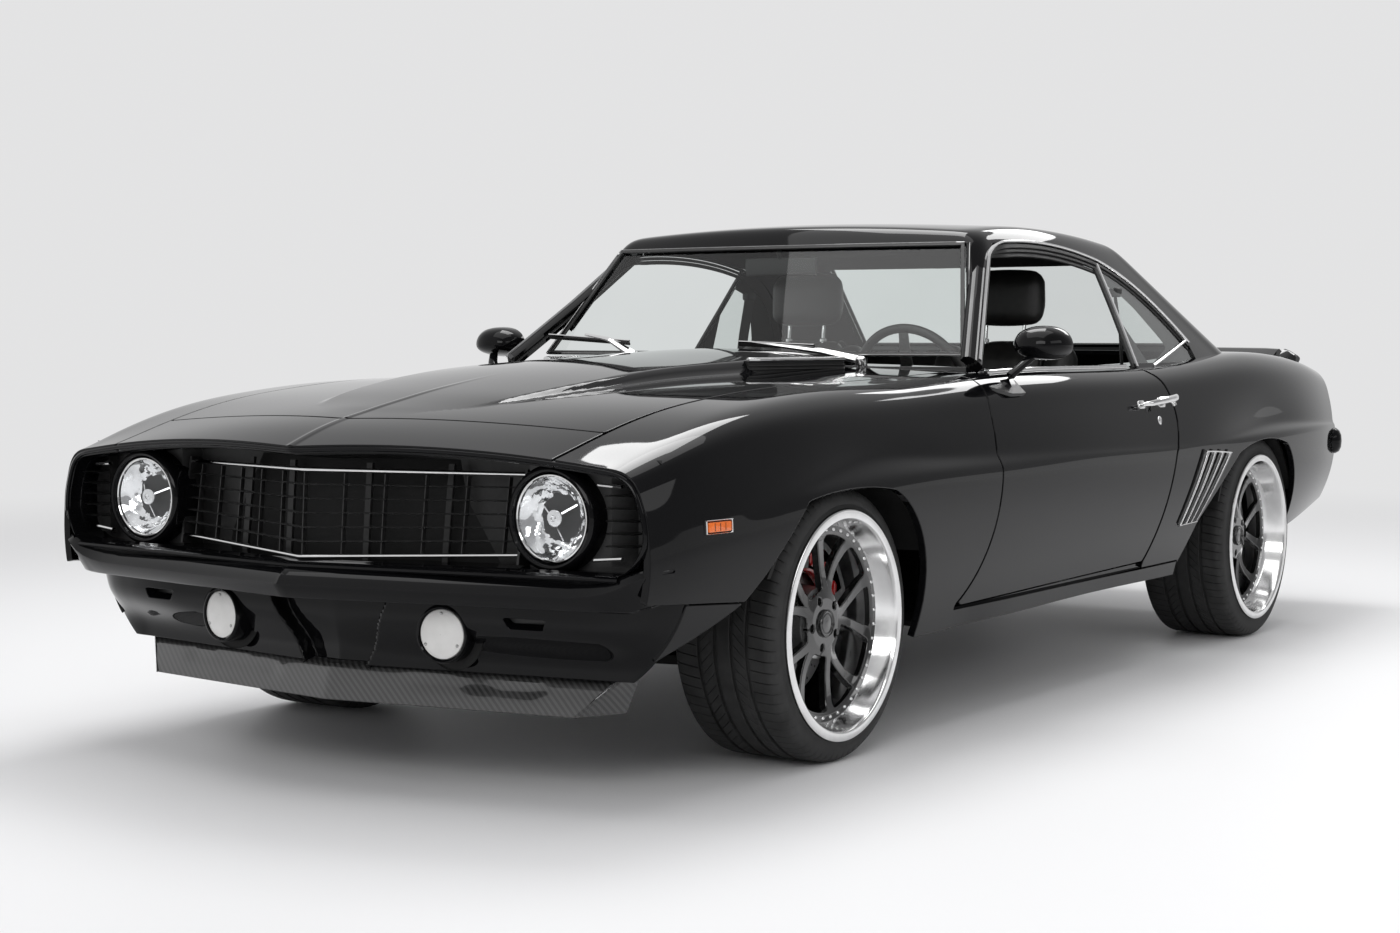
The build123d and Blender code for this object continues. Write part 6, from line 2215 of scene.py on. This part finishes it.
def rear_loop(row, sign=1):
    """Rounded bar section that turns from facing rear to facing the side."""
    t = math.radians(row.turn)
    out = np.array((math.sin(t), math.cos(t)))
    prof = [(0, 0), (-2, 22), (-9, 38), (-22, 48), (-40, 50), (-52, 44), (-52, -40), (-40, -47),
            (-22, -46), (-9, -38), (-2, -22)]
    pts = []
    for forward, dz in prof:
        d = out * ((forward + 24) * row.size - 24)
        pts.append((sign * (row.x + d[0]), row.y + d[1], 616 + dz * row.size))
    return pts


bar = rings([rear_loop(r, -1) for r in reversed(REAR_BUMPER[1:])]
            + [rear_loop(r) for r in REAR_BUMPER])
skin = bar.build("bumper_rear_bar", "body", "body_paint", PAINT, sharp=60)
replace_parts(skin, "bumper_rear")
recess = rounded_plate(-178, 178, 470, 556, 2262, 2286, 8, 3)
recess.build("plate_recess", "body", "grille_black", SATIN)
lights = rounded_plate(-196, -184, 500, 530, 2270, 2292, 4, 2)
lights.both().build("plate_lamps", "body", "trim_chrome", BLACK_CHROME)


# ---- exhaust: pipes, rounded silencers and rolled tips ---------------------------------
pipes = tube([(290, -858, 215), (290, 60, 215), (290, 1000, 215)], 31, 20)
pipes.merge(tube([(530, 2096, 280), (530, 2200, 280), (530, 2290, 280)], 31, 20))
for y in (-510, 510):
    pipes.merge(block(285, 295, y - 9, y + 9, 238, 256, 2, 2))
pipes.both().build("exhaust_pipes", "body", "exhaust_steel", STEEL)
cans = block(202, 378, 302, 798, 166, 249, 36, 6)
cans.merge(block(422, 638, 1832, 2128, 231, 329, 42, 6))
for y in (1868, 1980, 2092):
    cans.merge(block(420.5, 639.5, y - 3, y + 3, 229.5, 330.5, 2.5, 2))
skin = cans.both().build("exhaust_silencers", "body", "exhaust_steel", CAST)
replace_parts(skin, "exhaust")
tips = lathe([(0, 33), (120, 35.5), (124, 36), (127, 35), (127, 33), (118, 31.5), (20, 30),
              (20, 1)], (0, 1, 0), (530, 2200, 280), 48)
tips.both().build("exhaust_tips", "body", "exhaust_steel", POLISHED)


# ---- cabin: padded seats ---------------------------------------------------------------
GROOVE_DEPTH = 6.0


def pad(profile, x0, x1, edge, crown, channels=(), step=13.0):
    """Crowned cushion: a closed y, z profile carried from x0 to x1 with rounded ends, and
    with sewn channels at the given x."""
    loop = even_loop(np.asarray(profile, float), step, passes=5)
    outward = loop - inset_loop(loop, 1.0)
    half = (x1 - x0) / 2
    count = max(8, int(round((x1 - x0) / step)))
    ends = edge * (1 - np.cos(np.linspace(0, math.pi / 2, 7)))
    xs = np.unique(np.concatenate([x0 + ends, np.linspace(x0 + edge, x1 - edge, count),
                                   x1 - ends]).round(3))
    loops = []
    for x in xs:
        d = min(x - x0, x1 - x)
        shrink = edge * (1 - math.sqrt(1 - max(0.0, 1 - d / edge) ** 2))
        u = (x - (x0 + x1) / 2) / half
        out = crown * (1 - u * u) - shrink
        out -= sum(GROOVE_DEPTH * math.exp(-((x - c) / 5.0) ** 2) for c in channels)
        q = loop + outward * out
        loops.append(np.column_stack([np.full(len(q), x), q]))
    return rings(loops)


def welt(profile, x):
    """Piping round a profile at x, just proud of it."""
    loop = even_loop(np.asarray(profile, float), 15.0, passes=5)
    centre = loop.mean(0)
    loop = centre + (loop - centre) * 1.004
    path = np.column_stack([np.full(len(loop), x), loop])
    return closed_sweep(path, circle(2.6, 8), np.tile((1.0, 0, 0), (len(path), 1)))


PAD_VOXEL = 0.010
PAD_PRESSURE = 4.0
PAD_FRAMES = 8
PAD_MOST = 0.008


def puffed(obj):
    """Inflates a pad with a short cloth run and keeps the result, up to the most it may move."""
    scene = bpy.context.scene
    view_layer = bpy.context.view_layer
    for other in view_layer.objects:
        other.select_set(False)
    obj.select_set(True)
    view_layer.objects.active = obj
    remesh = obj.modifiers.new("remesh", "REMESH")
    remesh.mode = "VOXEL"
    remesh.voxel_size = PAD_VOXEL
    bpy.ops.object.modifier_apply(modifier=remesh.name)
    before = np.empty(len(obj.data.vertices) * 3)
    obj.data.vertices.foreach_get("co", before)
    cloth = obj.modifiers.new("cloth", "CLOTH")
    cloth.settings.use_pressure = True
    cloth.settings.uniform_pressure_force = PAD_PRESSURE
    cloth.settings.effector_weights.gravity = 0
    cloth.settings.quality = 5
    cloth.point_cache.frame_start = 1
    cloth.point_cache.frame_end = PAD_FRAMES
    for frame_number in range(1, PAD_FRAMES + 1):
        scene.frame_set(frame_number)
    moved = obj.evaluated_get(view_layer.depsgraph).to_mesh()
    after = np.empty(len(before))
    moved.vertices.foreach_get("co", after)
    obj.evaluated_get(view_layer.depsgraph).to_mesh_clear()
    obj.modifiers.remove(cloth)
    step = (after - before).reshape(-1, 3)
    size = np.linalg.norm(step, axis=1, keepdims=True)
    step *= np.minimum(1.0, PAD_MOST / np.maximum(size, 1e-9))
    obj.data.vertices.foreach_set("co", (before.reshape(-1, 3) + step).ravel())
    obj.data.polygons.foreach_set("use_smooth", [True] * len(obj.data.polygons))
    obj.data.update()
    scene.frame_set(1)


def build_pad(shape, name):
    obj = shape.build(name, "body", "interior_leather", LEATHER, sharp=60)
    puffed(obj)
    return obj


SEAT_X = 370.0
CUSHION = [(-76, 362), (-92, 440), (-30, 464), (330, 428), (430, 412), (430, 362)]
BACKREST = [(372, 445), (450, 440), (585, 950), (552, 984), (508, 986), (474, 930)]
HEADREST = [(500, 1044), (566, 1036), (596, 1092), (588, 1186), (544, 1206), (500, 1172)]


CUSHION_SIDE = [(-66, 366), (-80, 452), (-26, 482), (330, 452), (424, 440), (424, 366)]
BACK_SIDE = [(350, 452), (452, 446), (580, 930), (552, 968), (500, 968), (448, 900)]


def pad_pair(profile, near, far, edge):
    """The two side pads of the left front seat, between two distances from its middle."""
    left = pad(profile, SEAT_X - far, SEAT_X - near, edge, 4)
    return left.merge(pad(profile, SEAT_X + near, SEAT_X + far, edge, 4))


seat_centre = pad(CUSHION, SEAT_X - 150, SEAT_X + 150, 22, 5, (SEAT_X - 75, SEAT_X, SEAT_X + 75))
seat_back = pad(BACKREST, SEAT_X - 142, SEAT_X + 142, 22, 5, (SEAT_X - 71, SEAT_X, SEAT_X + 71))
seats = build_pad(seat_centre.both(), "seat_cushions")
build_pad(pad_pair(CUSHION_SIDE, 152, 240, 34).both(), "seat_cushion_bolsters")
build_pad(seat_back.both(), "seat_backs")
build_pad(pad_pair(BACK_SIDE, 144, 232, 32).both(), "seat_back_bolsters")
headrest = pad(HEADREST, SEAT_X - 134, SEAT_X + 116, 40, 8, step=9)
build_pad(headrest.both(), "headrests")
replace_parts(seats, "front_seats")

piping = Shape()
for profile, half in ((CUSHION, 151), (BACKREST, 143)):
    for x in (SEAT_X - half, SEAT_X + half):
        piping.merge(welt(profile, x))
piping.both().build("seat_piping", "body", "interior_leather", LEATHER)

seat_frame = block(SEAT_X - 200, SEAT_X + 200, -18, 418, 300, 366, 14, 3)
seat_frame.merge(block(SEAT_X - 206, SEAT_X - 176, -30, 430, 252, 300, 6, 2))
seat_frame.merge(block(SEAT_X + 176, SEAT_X + 206, -30, 430, 252, 300, 6, 2))
seat_frame.merge(block(SEAT_X - 222, SEAT_X + 222, 452, 478, 440, 620, 10, 3))
seat_frame.both().build("seat_frames", "body", "interior_plastic", DASH)
posts = Shape()
for dx in (-74, 56):
    posts.merge(tube([(SEAT_X + dx, 530, 940), (SEAT_X + dx, 536, 1010), (SEAT_X + dx, 542, 1070)],
                     5.5, 12, up=(1, 0, 0)))
    posts.merge(lathe([(-3, 11), (6, 11), (8, 8), (8, 5)], (0, 0, 1),
                      (SEAT_X + dx, 533, 984), 20))
posts.both().build("headrest_posts", "body", "trim_chrome", CHROME)

REAR_CUSHION = [(716, 372), (706, 424), (750, 448), (930, 432), (930, 372)]
REAR_BACK = [(930, 470), (1062, 868), (1104, 886), (1136, 868), (1096, 470)]


def rear_pads(profile):
    """Two wide places with a narrow one between them."""
    s = Shape()
    for x0, x1 in ((-540, -72), (72, 540)):
        mid = (x0 + x1) / 2
        s.merge(pad(profile, x0, x1, 30, 7, (mid - 78, mid, mid + 78)))
    return s.merge(pad(profile, -70, 70, 18, 2))


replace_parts(build_pad(rear_pads(REAR_CUSHION), "rear_seat_cushions"), "rear_seat")
build_pad(rear_pads(REAR_BACK), "rear_seat_backs")
tray = block(-548, 548, 1142, 1496, 862, 880, 7, 3)
for x in (-330, 330):
    tray.merge(lathe([(0, 78), (5, 76), (6, 70), (3, 66), (3, 1)], (0, 0, 1), (x, 1300, 879), 40))
tray.build("parcel_shelf", "body", "interior_plastic", CARPET)


# ---- dashboard, wheel and small fittings -----------------------------------------------
def dash_section(x):
    """Section of the dashboard at x: the hood over the gauges rises before the driver."""
    hood = math.exp(-((x - SEAT_X) / 175.0) ** 4)
    end = 1 - smooth_step((abs(x) - 610) / 60)
    lift = 12 * hood
    return [(-478, 704), (-478, 846), (-440, 858 + 0.4 * lift), (-400, 868 + 0.8 * lift),
            (-330, 878 + lift), (-286 - 10 * (1 - hood), 874 + lift * end),
            (-270 - 8 * (1 - hood), 858 + 0.7 * lift), (-284, 842 + 0.4 * lift),
            (-306, 832), (-312, 800), (-300, 768), (-286, 744), (-290, 716), (-330, 704)]


xs = np.concatenate([np.linspace(-668, 120, 34), np.linspace(140, 600, 40), [620, 645, 668]])
dash = rings([[(x, y, z) for y, z in dash_section(x)] for x in xs])
skin = dash.build("dash_pad", "body", "interior_plastic", DASH, sharp=40)
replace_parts(skin, "dashboard")
dials = Shape()
for x, r in ((SEAT_X - 105, 52), (SEAT_X + 8, 52), (SEAT_X + 98, 30)):
    dials.merge(lathe([(0, r), (8, r), (9, r - 3), (3, r - 6), (3, 1)], (0, 1, -0.2),
                      (x, -308, 806), 40))
for x in (-560, -60, 120):
    dials.merge(lathe([(0, 34), (7, 34), (8, 31), (3, 28), (2, 1)], (0, 1, -0.1),
                      (x, -310, 806), 32))
dials.build("dash_rings", "body", "trim_chrome", BLACK_CHROME)
console = block(-112, 112, -372, -296, 560, 712, 16, 4)
console.merge(block(-96, 96, -300, 620, 392, 452, 18, 4))
console.merge(block(-60, 60, -40, 200, 446, 470, 12, 3))
console.build("centre_console", "body", "interior_plastic", DASH)
lever = tube([(0, 40, 462), (0, 34, 520), (0, 30, 560)], 7, 12, up=(1, 0, 0))
lever.merge(lathe([(-24, 8), (-20, 19), (0, 24), (18, 18), (25, 8), (26, 1)], (0, -0.1, 1),
                  (0, 28, 575), 28, caps=True))
lever.build("shift_lever", "body", "trim_chrome", BLACK_CHROME)

WHEEL_AT = np.array((370.0, -95.0, 862.0))
WHEEL_TILT = math.radians(-70)


def wheel_place(p):
    """Carries a point of the flat steering wheel to its tilted place."""
    x, y, z = p
    c, s = math.cos(WHEEL_TILT), math.sin(WHEEL_TILT)
    return WHEEL_AT + (x, y * c - z * s, y * s + z * c)


rim_path = [(x, y, 0) for x, y in circle(171, 96)]
rim = closed_sweep(rim_path, circle(13.5, 14), np.tile((0, 0, 1.0), (len(rim_path), 1)))
spokes = Shape()
for angle in (0, 180, 270):
    t = math.radians(angle)
    d = np.array((math.cos(t), math.sin(t), 0))
    spokes.merge(sweep([d * 30 + (0, 0, -10), d * 90 + (0, 0, -14), d * 165 + (0, 0, -3)],
                       [(-22, -2), (-20, 2), (20, 2), (22, -2), (20, -4), (-20, -4)],
                       scale=[1.0, 0.85, 0.7]))
hub = lathe([(-20, 44), (-4, 50), (6, 48), (13, 38), (15, 20), (15.5, 1)], (0, 0, 1), (0, 0, 0),
            40, caps=True)
column = lathe([(-250, 30), (-60, 30), (-40, 36), (-22, 34)], (0, 0, 1), (0, 0, 0), 32)
skin = rim.merge(hub).moved(wheel_place).build("steering_wheel_rim", "body", "interior_leather",
                                               LEATHER)
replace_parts(skin, "steering_wheel")
spokes.moved(wheel_place).build("steering_wheel_spokes", "body", "trim_chrome", STEEL)
column.moved(wheel_place).build("steering_column", "body", "interior_plastic", DASH)

inner = sweep([(-118, -218, 1203), (-60, -222, 1205), (60, -222, 1205), (118, -218, 1203)],
              [(0, -28), (10, -24), (14, 0), (10, 24), (0, 28), (-4, 24), (-4, -24)])
inner.merge(tube([(0, -228, 1228), (0, -236, 1246), (0, -226, 1262)], 7, 12, up=(1, 0, 0)))
inner.build("inner_mirror", "body", "interior_plastic", SATIN)
visor = block(170, 520, -150, -20, 1258, 1272, 6, 3)
visor.both().build("sun_visors", "body", "interior_plastic", DASH)

strap = [(-23, -0.8), (23, -0.8), (23, 0.8), (-23, 0.8)]
belts = sweep(even_line([(668, 676, 1130), (690, 672, 1000), (706, 660, 820), (712, 640, 560),
                         (700, 610, 330)], 25), strap, up=(1, 0.2, 0))
belts.both().build("belt_webbing", "body", "interior_leather", SATIN)
guides = block(656, 684, 650, 700, 1120, 1150, 8, 3)
guides.both().build("belt_guides", "body", "interior_plastic", DASH)
buckle = block(128, 150, 330, 362, 430, 520, 8, 3)
buckle.both().build("belt_buckles", "body", "interior_plastic", DASH)


# ---- CAD pieces that stay, with their finish -------------------------------------------
KEPT = {
    "floor_pan": CARPET, "rear_wheelhouses": UNDERSIDE, "sills": PAINT, "subframe": UNDERSIDE,
    "cowl_panel": BLACK_METAL, "engine_block": CAST, "rear_axle": BLACK_METAL,
    "knuckle_left": CAST, "knuckle_right": CAST,
}
for name, solid in NODES.items():
    if not solid.hide_render:
        solid.data.materials.clear()
        solid.data.materials.append(KEPT.get(name, BLACK_METAL))

make_world()
make_floor()
make_camera()
area_light("top_box", (0.0, -0.8, 5.2), (0, 0, 0), (4.6, 5.4), 125)
area_light("key_box", (-0.8, 1.3, 5.1), (0.2, -1.0, 0), (2.4, 2.2), 125)
area_light("back_box", (0.5, 6.4, 4.4), (0.4, 0, 0.6), (3.0, 1.0), 60)
area_light("front_box", (2.5, -7.0, 3.4), (0, -1.0, 0.6), (4.0, 2.0), 90)
area_light("left_box", (6.5, -1.0, 3.2), (0, 0, 0.7), (6.0, 1.6), 45)

bpy.context.scene.view_settings.view_transform = "Standard"
